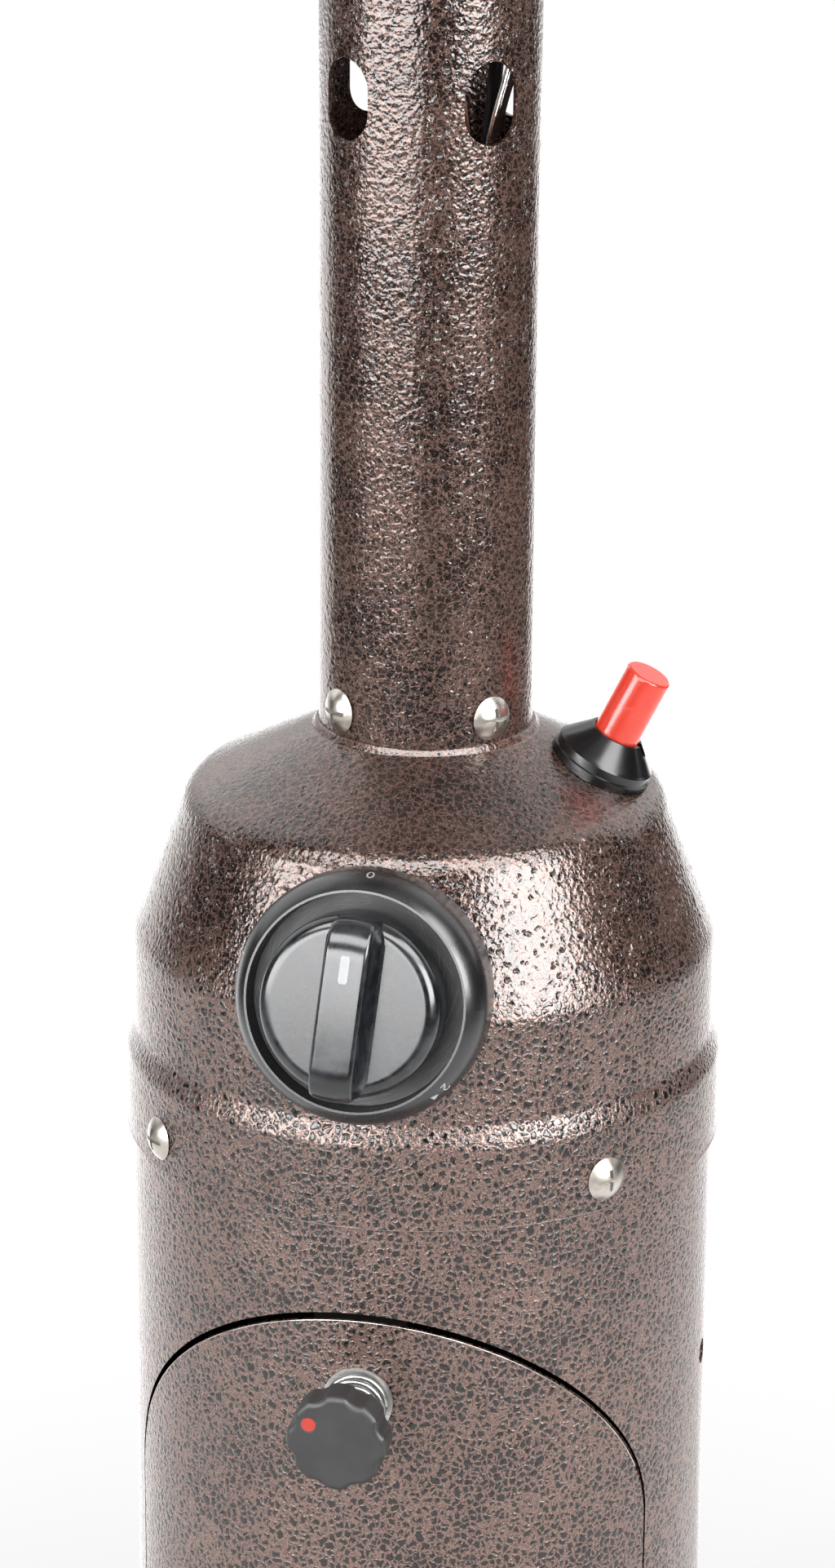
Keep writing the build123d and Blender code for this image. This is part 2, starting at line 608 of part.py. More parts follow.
def base_nuts():
    """Hexagonal nuts in the pockets under the weight."""
    low, bore = base_nut_low(), BASE_BOLT_RADIUS + HINGE_RUNNING
    return group(
        hex_nut(Plane(origin=point), low, low + BASE_NUT_HEIGHT, BASE_NUT_FLATS, bore)
        for point in base_bolt_points()
    )


# ---- cylinder housing and door ----
def arch_prism(half_width, bottom, centre):
    """Arched block in front of the pole's axis: straight sides under a half circle."""
    top = Pos(0, centre) * Circle(half_width)
    sides = Pos(0, (bottom + centre) / 2) * Rectangle(2 * half_width, centre - bottom)
    front = Plane(origin=(0, 0, 0), x_dir=(1, 0, 0), z_dir=(0, -1, 0))
    return front * extrude(top + sides, BODY_RADIUS + 10)


def body_shell():
    """Rolled sheet tube with an arched door opening, two side vents and a floor flange."""
    shell = ring(BODY_RADIUS, BODY_INNER, BASE_TOP, BODY_TOP)
    flange = BODY_RADIUS - FLOOR_FLANGE_WIDTH
    shell += ring(BODY_RADIUS - BODY_SHEET / 2, flange, BASE_TOP, BASE_TOP + BODY_SHEET)
    shell -= arch_prism(DOOR_ARCH_RADIUS, DOOR_SILL, DOOR_ARCH_CENTRE)
    for azimuth in (90, -90):
        shell -= disc(SIDE_VENT_RADIUS, -5, 5, face_plane(BODY_RADIUS, azimuth, RIM_BOTTOM - SIDE_VENT_DROP))
    for azimuth in COLLAR_AZIMUTHS:
        shell -= disc(SCREW_RADIUS + SLIP, -5, 5, face_plane(BODY_RADIUS, azimuth, COLLAR_SCREW_Z))
    for point in base_bolt_points():
        shell -= Pos(point.X, point.Y, 0) * disc(BASE_BOLT_RADIUS + SLIP, BASE_TOP - 1, BASE_TOP + 3)
    return shell


def door_panel():
    """Curved arched door, a little smaller than its opening, with two hooks below the sill."""
    bottom = DOOR_SILL + DOOR_BOTTOM_GAP
    panel = ring(BODY_RADIUS, BODY_INNER, DOOR_SILL, BODY_TOP)
    panel &= arch_prism(DOOR_ARCH_RADIUS - DOOR_SIDE_GAP, bottom, DOOR_ARCH_CENTRE - DOOR_DROP)
    outer = BODY_INNER - SLIP
    inner = outer - HOOK_SHEET
    low, high = DOOR_SILL - HOOK_BELOW_SILL, DOOR_SILL + HOOK_ABOVE_SILL
    band = ring(outer, inner, low, high) + ring(BODY_INNER + 0.01, inner, bottom + HOOK_JOINT_LOW, high)
    for side in (-1, 1):
        edge = side * HOOK_OFFSET
        panel += band & box((edge - HOOK_WIDTH / 2, -BODY_RADIUS, low), (edge + HOOK_WIDTH / 2, 0, high))
    return panel - disc(LATCH_SHAFT_RADIUS + SLIP, -BODY_RADIUS, BODY_RADIUS + 5, LATCH_PLANE)


def latch_tab():
    """Slotted tab welded inside the housing above the door; the latch pin hooks behind it."""
    low, high = LATCH_Z - LATCH_TAB_BELOW, DOOR_ARCH_TOP + LATCH_TAB_ABOVE
    tab = ring(LATCH_TAB_OUTER, LATCH_TAB_OUTER - LATCH_TAB_SHEET, low, high)
    weld = ring(BODY_INNER, LATCH_TAB_OUTER - LATCH_TAB_SHEET / 2, DOOR_ARCH_TOP + LATCH_TAB_WELD_GAP, high)
    half = BODY_RADIUS * math.sin(math.radians(LATCH_TAB_HALF_ANGLE))
    tab = (tab + weld) & box((-half, -BODY_RADIUS, low), (half, 0, high))
    inside = BODY_RADIUS / 2
    across = LATCH_PIN_RADIUS + LATCH_SLOT_SIDE_ROOM
    along = LATCH_PIN_LENGTH / 2 + LATCH_SLOT_END_ROOM
    tab -= disc(LATCH_SHAFT_RADIUS + LATCH_SLOT_END_ROOM, inside, BODY_RADIUS, LATCH_PLANE)
    return tab - box((-across, -along, inside), (across, along, BODY_RADIUS), LATCH_PLANE)


def door_knob():
    """Lobed star knob with rounded edges, bored for its shaft, with a pocket for the dot."""
    star = Circle(STAR_RADIUS)
    reach = STAR_RADIUS + STAR_SCALLOP_RADIUS - STAR_SCALLOP_DEPTH
    for k in range(STAR_LOBES):
        star -= Rot(0, 0, (k + 0.5) * 360 / STAR_LOBES) * Pos(reach, 0) * Circle(STAR_SCALLOP_RADIUS)
    star = fillet(star.vertices(), STAR_LOBE_ROUND)
    knob = Pos(0, 0, STAR_BACK) * extrude(star, STAR_THICKNESS)
    knob = fillet(knob.faces().sort_by(Axis.Z)[-1].edges(), STAR_EDGE_ROUND)
    knob -= disc(LATCH_SHAFT_RADIUS + HINGE_RUNNING, STAR_BACK - 1, STAR_FACE - STAR_FACE_WALL)
    knob -= dot_place() * disc(STAR_DOT_RADIUS, STAR_FACE - STAR_DOT_DEPTH, STAR_FACE + 1)
    return LATCH_PLANE * knob


def dot_place():
    """Where the dot sits on the knob's face, from the knob's own axis."""
    angle = math.radians(90 + STAR_DOT_CLOCK)
    return Pos(STAR_DOT_OFFSET * math.cos(angle), STAR_DOT_OFFSET * math.sin(angle), 0)


def door_knob_dot():
    """Coloured index dot set into the star knob's face."""
    radius = STAR_DOT_RADIUS - HINGE_RUNNING / 2
    dot = disc(radius, STAR_FACE - STAR_DOT_DEPTH, STAR_FACE + STAR_DOT_RISE)
    return LATCH_PLANE * (dot_place() * dot)


def latch_shaft():
    """Steel shaft from the star knob to the cross pin."""
    tip = STAR_FACE - STAR_FACE_WALL - SEAT
    shaft = disc(LATCH_SHAFT_RADIUS, LATCH_PIN_DEPTH - LATCH_SHAFT_TAIL, tip)
    hole = Cylinder(LATCH_PIN_RADIUS + HINGE_RUNNING / 2, 2 * LATCH_PIN_LENGTH)
    return LATCH_PLANE * (shaft - Pos(0, 0, LATCH_PIN_DEPTH) * Rot(90, 0, 0) * hole)


def latch_pin():
    """Cross pin through the shaft; upright when the door is free."""
    pin = Rot(90, 0, 0) * Cylinder(LATCH_PIN_RADIUS, LATCH_PIN_LENGTH)
    return LATCH_PLANE * Pos(0, 0, LATCH_PIN_DEPTH) * pin


def latch_washer(low):
    """Flat washer of the latch spring, whose inner face is at a given distance."""
    high = low + LATCH_WASHER_THICKNESS
    return ring(LATCH_WASHER_RADIUS, LATCH_SHAFT_RADIUS + SLIP, low, high, LATCH_PLANE)


def door_knob_spring():
    """Compression spring between the two washers of the latch."""
    low, high = SEAT_WASHER_LOW + LATCH_WASHER_THICKNESS + SEAT, PUSH_WASHER_LOW - SEAT
    return coil(LATCH_SPRING_RADIUS, LATCH_SPRING_WIRE, LATCH_SPRING_PITCH, low, high, LATCH_PLANE)


# ---- control housing ----
def dome_profile(grow):
    """Face of the housing's outer form, grown outwards by a margin and closed past the axis."""
    top = NECK + SPIGOT_HEIGHT
    corners = [
        (DOME_RIM_RADIUS, STEP_BOTTOM, DOME_STEP_ROUND), (BELT_RADIUS, STEP_TOP, DOME_STEP_ROUND),
        (BELT_RADIUS, BELT_TOP, DOME_BELT_ROUND), (STEEP_TOP_RADIUS, STEEP_TOP, DOME_SHOULDER_ROUND),
        (SHOULDER_TOP_RADIUS, SHOULDER_TOP, DOME_COLLAR_ROUND),
        (POLE_RADIUS + DOME_SEAT_WIDTH, NECK, DOME_COLLAR_ROUND),
    ]
    side = make_face(Polyline(
        (DOME_RIM_RADIUS, RIM_BOTTOM), *[(r, z) for r, z, _ in corners], (SPIGOT_RADIUS, NECK),
        (SPIGOT_RADIUS, top), (-POLE_RADIUS, top), (-POLE_RADIUS, RIM_BOTTOM), close=True,
    ))
    for r, z, radius in corners:
        side = fillet(side.vertices().sort_by_distance((r, z, 0))[0], radius)
    return offset(side, grow, kind=Kind.INTERSECTION) if grow else side


def dome_solid(grow, low=RIM_BOTTOM, high=NECK + SPIGOT_HEIGHT):
    """Solid form of the housing, for cutting what seats on it or what is inside it."""
    window = Pos(BODY_RADIUS, (high + low) / 2) * Rectangle(2 * BODY_RADIUS, high - low)
    return revolve(Plane.XZ * (dome_profile(grow) & window), Axis.Z)


def dome_housing():
    """Pressed and welded steel housing that carries the pole, the valve and the igniter."""
    top = NECK + SPIGOT_HEIGHT
    shell = dome_solid(0) - dome_solid(-DOME_SHEET, RIM_BOTTOM - 1, top + 1)
    shell -= disc(SPIGOT_BORE, NECK - 5, top + 1)
    shell -= disc(DOME_RIM_RADIUS - DOME_SHEET, RIM_BOTTOM - 1, RIM_BOTTOM + 2)
    shell -= disc(STEM_RADIUS + STEM_HOLE_ROOM, -20, 20, CONTROL_PLANE)
    shell -= disc(igniter_barrel_radius() + SLIP, -20, 20, IGNITER_PLANE)
    for azimuth in COLLAR_AZIMUTHS:
        shell -= disc(SCREW_RADIUS + SLIP, -5, 5, collar_screw_plane(azimuth))
    for azimuth in POLE_AZIMUTHS:
        shell -= disc(SCREW_RADIUS + SLIP, -5, 5, pole_screw_plane(azimuth))
    return shell


def collar_screw_plane(azimuth):
    """Seat of a screw's head on the housing's rim."""
    return face_plane(DOME_RIM_RADIUS, azimuth, COLLAR_SCREW_Z)


def pole_screw_plane(azimuth):
    """Seat of a screw's head at the foot of the pole."""
    return face_plane(POLE_RADIUS, azimuth, NECK + POLE_SCREW_HEIGHT)


def screw_nut(plane, depth):
    """Nut on a truss-head screw, whose seat is at a given depth behind the head's."""
    low = -depth - SCREW_NUT_GAP - SCREW_NUT_HEIGHT
    return hex_nut(plane, low, -depth - SCREW_NUT_GAP, SCREW_NUT_FLATS, SCREW_RADIUS + HINGE_RUNNING)


def collar_screws():
    """Screws round the housing's rim, through the cylinder housing into the bracket's tabs."""
    return group(truss_screw(collar_screw_plane(azimuth)) for azimuth in COLLAR_AZIMUTHS)


def collar_nuts():
    """Nuts on the collar screws, inside the bracket's tabs."""
    depth = DOME_RIM_RADIUS - (BODY_INNER - SLIP - PLATE_SHEET)
    return group(screw_nut(collar_screw_plane(azimuth), depth) for azimuth in COLLAR_AZIMUTHS)


def pole_screws():
    """Screws through the foot of the pole into the housing's spigot."""
    return group(truss_screw(pole_screw_plane(azimuth)) for azimuth in POLE_AZIMUTHS)


def pole_nuts():
    """Nuts on the pole screws, inside the spigot."""
    return group(screw_nut(pole_screw_plane(azimuth), POLE_RADIUS - SPIGOT_BORE) for azimuth in POLE_AZIMUTHS)


def pole():
    """Steel tube with air vents through both walls and screw holes at each end."""
    wall = ring(POLE_RADIUS, POLE_INNER, NECK, POLE_TOP)
    for azimuth in VENT_AZIMUTHS:
        across = face_plane(0, azimuth, NECK + VENT_CENTRE)
        slot = SlotOverall(VENT_HEIGHT, VENT_WIDTH, rotation=90)
        wall -= across * extrude(slot, POLE_RADIUS + 5, both=True)
    for azimuth in POLE_AZIMUTHS:
        for plane in (pole_screw_plane(azimuth), cup_screw_plane(azimuth)):
            wall -= disc(SCREW_RADIUS + SLIP, -5, 5, plane)
    return wall


# ---- control knob, dial ring and valve ----
def dial_ring():
    """Moulded ring round the knob: a rounded outer flank, a thin lip and a sunk floor."""
    bore = STEM_RADIUS + SLIP
    bulge = (DIAL_RADIUS - DIAL_FLANK * 0.25, DIAL_LIP * 0.58)
    flank = ThreePointArc((DIAL_RADIUS, 0), bulge, (RECESS_RADIUS + DIAL_LIP_WIDTH, DIAL_LIP))
    rest = Polyline(
        flank @ 1, (RECESS_RADIUS, DIAL_LIP), (RECESS_RADIUS - DIAL_RECESS_DRAFT, DIAL_FLOOR),
        (bore, DIAL_FLOOR), (bore, DIAL_BACK), (DIAL_RADIUS, DIAL_BACK), flank @ 0,
    )
    body = revolve(Plane.XZ * make_face([flank, rest]), Axis.Z)
    return CONTROL_PLANE * body - dome_solid(DIAL_SEAT)


def control_knob():
    """Round knob with a full-width tapered grip bar, bored for the valve stem."""
    skirt = disc(KNOB_RADIUS, KNOB_BOTTOM, KNOB_FACE)
    skirt = fillet(skirt.edges().filter_by(GeomType.CIRCLE).sort_by(Axis.Z)[-1:], KNOB_EDGE_ROUND)
    end, shoulder, foot = KNOB_RADIUS - SLIP, KNOB_FACE - 1, KNOB_FACE - GRIP_ROOT_DEPTH
    tip, top, root = end + SLIP - GRIP_END_SLOPE, GRIP_TOP_WIDTH / 2, GRIP_ROOT_WIDTH / 2
    along = make_face(Polyline(
        (-end, foot), (-end, shoulder), (-tip, GRIP_TOP), (tip, GRIP_TOP), (end, shoulder), (end, foot),
        close=True,
    ))
    along = fillet(along.vertices().filter_by(lambda v: abs(v.Y - GRIP_TOP) < 0.1), GRIP_END_ROUND)
    across = make_face(Polyline((-root, foot), (-top, GRIP_TOP), (top, GRIP_TOP), (root, foot), close=True))
    across = fillet(across.vertices().filter_by(lambda v: abs(v.Y - GRIP_TOP) < 0.1), GRIP_EDGE_ROUND)
    bar = extrude(Plane.YZ * along, KNOB_RADIUS, both=True)
    bar &= extrude(Plane.XZ * across, KNOB_RADIUS, both=True)
    knob = skirt + (bar & disc(KNOB_RADIUS - SLIP, 0, GRIP_TOP + 1))
    return CONTROL_PLANE * (knob - disc(STEM_RADIUS + HINGE_RUNNING, 0, STEM_OUTER_END + SEAT))


def valve_stem():
    """Round stem from the valve to the knob."""
    return disc(STEM_RADIUS, STEM_INNER_END, STEM_OUTER_END, CONTROL_PLANE)


def stem_collar():
    """Push washer on the stem, which the return spring presses outwards."""
    bore, high = STEM_RADIUS + HINGE_RUNNING, STEM_COLLAR_LOW + STEM_COLLAR_THICKNESS
    return ring(STEM_COLLAR_RADIUS, bore, STEM_COLLAR_LOW, high, CONTROL_PLANE)


def stem_spring():
    """Return spring between the valve's front face and the push washer."""
    low, high = SEAT - VALVE_DEPTH, STEM_COLLAR_LOW - SEAT
    return coil(STEM_SPRING_RADIUS, STEM_SPRING_WIRE, STEM_SPRING_PITCH, low, high, CONTROL_PLANE)


def gas_valve():
    """Valve block behind the knob, with its stem bore, magnet unit and two outlets."""
    half = VALVE_WIDTH / 2
    block = box((-half, -VALVE_HEIGHT / 2, VALVE_REAR), (half, VALVE_HEIGHT / 2, -VALVE_DEPTH))
    block = chamfer(block.edges().filter_by(Axis.Z), VALVE_CHAMFER)
    block -= disc(STEM_RADIUS + SLIP, STEM_INNER_END - KNOB_PUSH - 1, 1 - VALVE_DEPTH)
    valve = CONTROL_PLANE * block + disc(MAGNET_RADIUS, 0, MAGNET_LENGTH, magnet_plane())
    for radius, point in outlets():
        valve += disc(radius + OUTLET_WALL, -OUTLET_RISE, OUTLET_RISE, Plane(origin=point))
        valve -= disc(radius + SEAT, 0, OUTLET_RISE + 1, Plane(origin=point))
    for reach in (-1, 1):
        valve -= disc(VALVE_SCREW_RADIUS + SEAT, -VALVE_SCREW_LENGTH - 1, 1, valve_screw_plane(reach))
    return valve


def valve_point(side, up, along):
    """Point of the valve block: to the right, up and outwards along the knob's axis."""
    return CONTROL_PLANE.from_local_coords((side, up, along))


def magnet_plane():
    """Side face of the valve where the flame-failure magnet unit screws in."""
    return Plane(origin=valve_point(-VALVE_WIDTH / 2, 0, VALVE_MIDDLE), x_dir=(0, 1, 0), z_dir=(-1, 0, 0))


def outlets():
    """Tube radius and top centre of the valve's two gas outlets."""
    along = -VALVE_DEPTH - VALVE_LENGTH * OUTLET_SHARE
    tops = [valve_point(side, VALVE_HEIGHT / 2, along) for side in OUTLET_OFFSETS]
    return list(zip((MAIN_TUBE_RADIUS, PILOT_TUBE_RADIUS), tops))


def valve_screw_plane(reach):
    """Where a valve screw's head sits on the bracket's upright."""
    centre = valve_point(0, 0, VALVE_MIDDLE)
    origin = (VALVE_WIDTH / 2 + SEAT + PLATE_SHEET, centre.Y, centre.Z + reach * VALVE_SCREW_REACH)
    return Plane(origin=origin, x_dir=(0, 1, 0), z_dir=(1, 0, 0))


def valve_screws():
    """Two cheese-head screws that hold the valve to the bracket's upright."""
    return group(
        disc(VALVE_SCREW_HEAD_RADIUS, SEAT, VALVE_SCREW_HEAD_HEIGHT, plane)
        + disc(VALVE_SCREW_RADIUS, -VALVE_SCREW_LENGTH, 2 * SEAT, plane)
        for plane in (valve_screw_plane(-1), valve_screw_plane(1))
    )


def valve_bracket():
    """Round plate across the top of the housing, with turned-up tabs and an upright for the valve."""
    outer, tab_top = BODY_INNER - SLIP, COLLAR_SCREW_Z + PLATE_TAB_RISE
    plate = disc(PLATE_RADIUS, PLATE_BOTTOM, PLATE_TOP)
    tabs = ring(outer, outer - PLATE_SHEET, PLATE_BOTTOM, tab_top)
    tabs += ring(outer, PLATE_RADIUS - PLATE_LIP, PLATE_BOTTOM, PLATE_TOP)
    strip = box((-PLATE_TAB_WIDTH / 2, -BODY_RADIUS, 0), (PLATE_TAB_WIDTH / 2, 0, NECK))
    for azimuth in COLLAR_AZIMUTHS:
        plate += tabs & (Rot(0, 0, azimuth) * strip)
        plate -= disc(SCREW_RADIUS + SLIP, -12, 5, collar_screw_plane(azimuth))
    plate -= disc(REGULATOR_SPIGOT_RADIUS + SLIP, PLATE_BOTTOM - 1, PLATE_TOP + 1)
    centre = valve_point(0, 0, VALVE_MIDDLE)
    near = VALVE_WIDTH / 2 + SEAT
    upright = box(
        (near, centre.Y - UPRIGHT_WIDTH / 2, PLATE_BOTTOM + PLATE_SHEET / 2),
        (near + PLATE_SHEET, centre.Y + UPRIGHT_WIDTH / 2, centre.Z + UPRIGHT_RISE),
    )
    plate += upright - disc(REGULATOR_RADIUS + PLATE_SHEET, 0, REGULATOR_TOP + 1)
    for reach in (-1, 1):
        plate -= disc(VALVE_SCREW_RADIUS + SLIP, -4, 1, valve_screw_plane(reach))
    return plate


def regulator():
    """Round die-cast regulator above the bracket plate, with its cap and outlet neck."""
    body = disc(REGULATOR_RADIUS, PLATE_TOP, REGULATOR_SHOULDER)
    body += disc(REGULATOR_CAP_RADIUS, REGULATOR_SHOULDER, REGULATOR_TOP)
    body = fillet(body.edges().filter_by(GeomType.CIRCLE).sort_by(Axis.Z)[-1:], REGULATOR_CAP_ROUND)
    body += disc(REGULATOR_NECK_RADIUS, REGULATOR_TOP - 1, REGULATOR_TOP + REGULATOR_NECK_HEIGHT)
    body += disc(REGULATOR_SPIGOT_RADIUS, INLET_TOP, PLATE_TOP + 1)
    return body - disc(FEED_TUBE_RADIUS + SEAT, REGULATOR_TOP, REGULATOR_TOP + REGULATOR_NECK_HEIGHT + 1)


def regulator_inlet():
    """Threaded brass ring below the plate, where the gas cylinder screws in."""
    inlet = ring(INLET_RADIUS, INLET_THREAD_RADIUS, INLET_BOTTOM, INLET_BOTTOM + INLET_LENGTH)
    lower_edges = inlet.edges().filter_by(GeomType.CIRCLE).group_by(Axis.Z)[0]
    return chamfer(lower_edges.sort_by(SortBy.RADIUS)[-1:], INLET_CHAMFER)


def inlet_disc():
    """Brass disc with the gas port, between the inlet and the regulator's spigot."""
    plate = disc(INLET_RADIUS, INLET_BOTTOM + INLET_LENGTH + SEAT, INLET_TOP)
    plate = chamfer(plate.edges().filter_by(GeomType.CIRCLE).sort_by(Axis.Z)[-1:], INLET_CHAMFER)
    return plate - disc(INLET_PORT_RADIUS, INLET_BOTTOM, INLET_TOP + 1)


def feed_tube():
    """Brass elbow tube with two nuts, from the regulator up to the back of the valve."""
    start = REGULATOR_TOP + SEAT
    rear = valve_point(0, 0, VALVE_REAR - SEAT)
    corner = Vector(0, 0, rear.Z + rear.Y * math.tan(math.radians(CONTROL_TILT)))
    path = FilletPolyline(Vector(0, 0, start), corner, rear, radius=FEED_BEND)
    pipe = sweep(Plane.XY.offset(start) * Circle(FEED_TUBE_RADIUS), path)
    neck = REGULATOR_TOP + REGULATOR_NECK_HEIGHT + 2 * SEAT
    pipe += hexagon(FEED_NUT_FLATS, neck, neck + FEED_NUT_HEIGHT)
    back = Plane(origin=rear, x_dir=(1, 0, 0), z_dir=corner - rear)
    return pipe + hexagon(FEED_NUT_FLATS, 0, FEED_NUT_HEIGHT, back)


def tilt_switch_centre():
    """Middle of the anti-tip switch's foot."""
    return Vector(-REGULATOR_RADIUS - TILT_SWITCH_GAP - TILT_SWITCH_SIZE[0] / 2, TILT_SWITCH_BACK, PLATE_TOP)


def tilt_switch():
    """Sealed anti-tip switch box that stands on the bracket plate."""
    centre = tilt_switch_centre()
    width, depth, height = TILT_SWITCH_SIZE
    case = Pos(centre.X, centre.Y, centre.Z + height / 2) * Box(width, depth, height)
    case = fillet(case.edges().filter_by(Axis.Z), 2.0)
    reach = width / 2 + TILT_SWITCH_FLANGE
    flange = Pos(centre.X, centre.Y, centre.Z + PLATE_SHEET / 2) * Box(2 * reach, depth / 2, PLATE_SHEET)
    return case + flange


def tilt_switch_lead():
    """Lead from the anti-tip switch to the flame-failure magnet unit."""
    end = magnet_plane().origin + Vector(-MAGNET_LENGTH, 0, 0)
    start = tilt_switch_centre() + Vector(0, 0, TILT_SWITCH_SIZE[2])
    route = [
        start, start + Vector(0, 0, 14), start + Vector(-1, -12, 26), end + Vector(-18, 16, 0),
        end + Vector(-12, 0, 0), end,
    ]
    return tube("tilt_switch_lead", route, TILT_LEAD_RADIUS)


# ---- igniter ----
def igniter_barrel_radius():
    """Outer radius of the piezo unit, from the button that slides in it."""
    return IGNITER_BUTTON_RADIUS + SLIP + IGNITER_BARREL_WALL


def igniter_collar():
    """Black collar of the push igniter: a flange, a cone and a small keyway."""
    bore, waist = IGNITER_BUTTON_RADIUS + SLIP, IGNITER_FLANGE_RADIUS - IGNITER_FLANGE_STEP
    cone = IGNITER_FLANGE_RADIUS - IGNITER_CONE_INSET
    collar = turned([
        (bore, -IGNITER_COLLAR_FOOT), (IGNITER_FLANGE_RADIUS, -IGNITER_COLLAR_FOOT),
        (IGNITER_FLANGE_RADIUS, IGNITER_FLANGE_BAND), (waist, IGNITER_FLANGE_BAND + SLIP),
        (waist, IGNITER_FLANGE_HEIGHT - IGNITER_FLANGE_STEP), (cone, IGNITER_FLANGE_HEIGHT),
        (IGNITER_BUTTON_RADIUS + IGNITER_COLLAR_WALL, IGNITER_COLLAR_HEIGHT), (bore, IGNITER_COLLAR_HEIGHT),
    ], IGNITER_PLANE)
    collar -= dome_solid(DIAL_SEAT)
    collar -= disc(igniter_barrel_radius() + SEAT, -5, IGNITER_BARREL_TOP + SEAT, IGNITER_PLANE)
    half, floor = IGNITER_SLOT_WIDTH / 2, IGNITER_COLLAR_HEIGHT - IGNITER_SLOT_DEPTH
    return collar - box((-half, 2 - cone, floor), (half, 0, IGNITER_COLLAR_HEIGHT + 1), IGNITER_PLANE)


def igniter_barrel():
    """Piezo unit below the housing, open at the top for the button."""
    barrel = disc(igniter_barrel_radius(), IGNITER_BARREL_BOTTOM, IGNITER_BARREL_TOP, IGNITER_PLANE)
    seat = IGNITER_BUTTON_BOTTOM - IGNITER_SPRING_LENGTH
    barrel -= disc(IGNITER_BUTTON_RADIUS + SLIP, seat, IGNITER_BARREL_TOP + 1, IGNITER_PLANE)
    socket = IGNITER_BARREL_BOTTOM + SOCKET_DEPTH
    return barrel - disc(WIRE_RADIUS + SEAT, IGNITER_BARREL_BOTTOM - 1, socket + 1, IGNITER_PLANE)


def igniter_nut():
    """Nut that pulls the piezo unit's collar down on the housing."""
    high, bore = -DOME_SHEET - IGNITER_COLLAR_FOOT, igniter_barrel_radius() + HINGE_RUNNING
    return hex_nut(IGNITER_PLANE, high - IGNITER_NUT_HEIGHT, high, IGNITER_NUT_FLATS, bore)


def igniter_button():
    """Long push button with a rounded top edge."""
    button = disc(IGNITER_BUTTON_RADIUS, IGNITER_BUTTON_BOTTOM, IGNITER_BUTTON_TOP)
    return IGNITER_PLANE * fillet(button.edges().sort_by(Axis.Z)[-1:], IGNITER_BUTTON_ROUND)


def igniter_spring():
    """Return spring under the button."""
    high = IGNITER_BUTTON_BOTTOM - SEAT
    low = IGNITER_BUTTON_BOTTOM - IGNITER_SPRING_LENGTH + SEAT
    radius = IGNITER_BUTTON_RADIUS - SLIP
    return coil(radius, IGNITER_SPRING_WIRE, IGNITER_SPRING_PITCH, low, high, IGNITER_PLANE)


# ---- tubes and wires, from the housing up through the pole ----
def near_neck(x, y, rise):
    """Point of a tube's route, at a height above the neck."""
    return Vector(x, y, NECK + rise)


def along_pole(x, y, share):
    """Point of a tube's route, at a share of the pole's length."""
    return Vector(x, y, NECK + share * POLE_LENGTH)


def near_vents(x, y, rise):
    """Point of a tube's route, at a height above the vents' centre."""
    return Vector(x, y, NECK + VENT_CENTRE + rise)


def main_gas_tube():
    """Copper tube from the valve to the orifice holder."""
    start = outlets()[0][1]
    end = Vector(0, 0, ORIFICE_BOTTOM + SOCKET_DEPTH - SLIP)
    route = [
        start, start + Vector(0, 0, 16), near_neck(-4, -17, -1), near_neck(3, -4, 27),
        along_pole(6, 2.5, 0.29), near_vents(7, 1, -14), end + Vector(2, 0, -23), end + Vector(0, 0, -9), end,
    ]
    return tube("main_gas_tube", route, MAIN_TUBE_RADIUS)


def service_hole(azimuth):
    """Hole in the head's floor for a tube or wire, just inside the pole."""
    return polar(SERVICE_HOLE_RADIUS, azimuth, CUP_FLOOR_TOP)


def pilot_place(side, height):
    """Point under or over the pilot shelf, to one side of its middle."""
    return Vector(PILOT_RADIUS, side * PILOT_SPACING, height)


def rise(side):
    """Last stretch of a route: up through the head's floor and out to the pilot shelf."""
    azimuth = PILOT_AZIMUTHS[side + 1]
    below = polar(SERVICE_HOLE_RADIUS, azimuth, POLE_TOP - 14)
    lift = service_hole(azimuth) + Vector(0, 0, 9)
    end = PILOT_FOOT + SOCKET_DEPTH - SLIP
    return [below, lift, pilot_place(side, end - 16), pilot_place(side, end)]


def pilot_tube():
    """Aluminium tube from the valve to the pilot burner, leaning across the pole at the vents."""
    start = outlets()[1][1]
    route = [
        start, start + Vector(0, 0, 14), near_neck(8, -16, 1), near_neck(12, 1, 55), along_pole(10, 7, 0.36),
        near_vents(12.5, 6.8, -21.5), near_vents(23.5, 7, 17.5), along_pole(22, 2, 0.78),
    ] + rise(0)
    return tube("pilot_tube", route, PILOT_TUBE_RADIUS)


def thermocouple_lead():
    """Copper lead from the magnet unit to the thermocouple's tip."""
    start = magnet_plane().origin + Vector(-MAGNET_LENGTH / 2, 0, MAGNET_RADIUS)
    route = [
        start, start + Vector(0, 0, 12), near_neck(-20, -20, -15), near_neck(-17, -5, 13),
        along_pole(-10, -12, 0.25), along_pole(-4, -15, 0.42), near_vents(3, -17, 1.5),
        along_pole(10, -18, 0.73),
    ] + rise(-1)
    return tube("thermocouple_lead", route, THERMOCOUPLE_RADIUS)


def igniter_wire():
    """Sleeved high-voltage wire from the piezo unit to the electrode."""
    start = IGNITER_PLANE.from_local_coords((0, 0, IGNITER_BARREL_BOTTOM + SOCKET_DEPTH))
    route = [
        start, start - IGNITER_PLANE.z_dir * 15, near_neck(26, 16, -71), near_neck(23, 29, -59),
        near_neck(20, 29, -39), near_neck(18, 15, -13), near_neck(17, 8, 19), along_pole(10, 16, 0.29),
        near_vents(12, 15, -19.5), near_vents(15.5, 15.5, 18.5), along_pole(19, 11, 0.81),
    ] + rise(1)
    return tube("igniter_wire", route, WIRE_RADIUS)


# ---- burner head ----
def cup_screw_plane(azimuth):
    """Seat of a screw's head on the collar of the head's cup."""
    return face_plane(CUP_BORE + CUP_SHEET, azimuth, CUP_SCREW_Z)


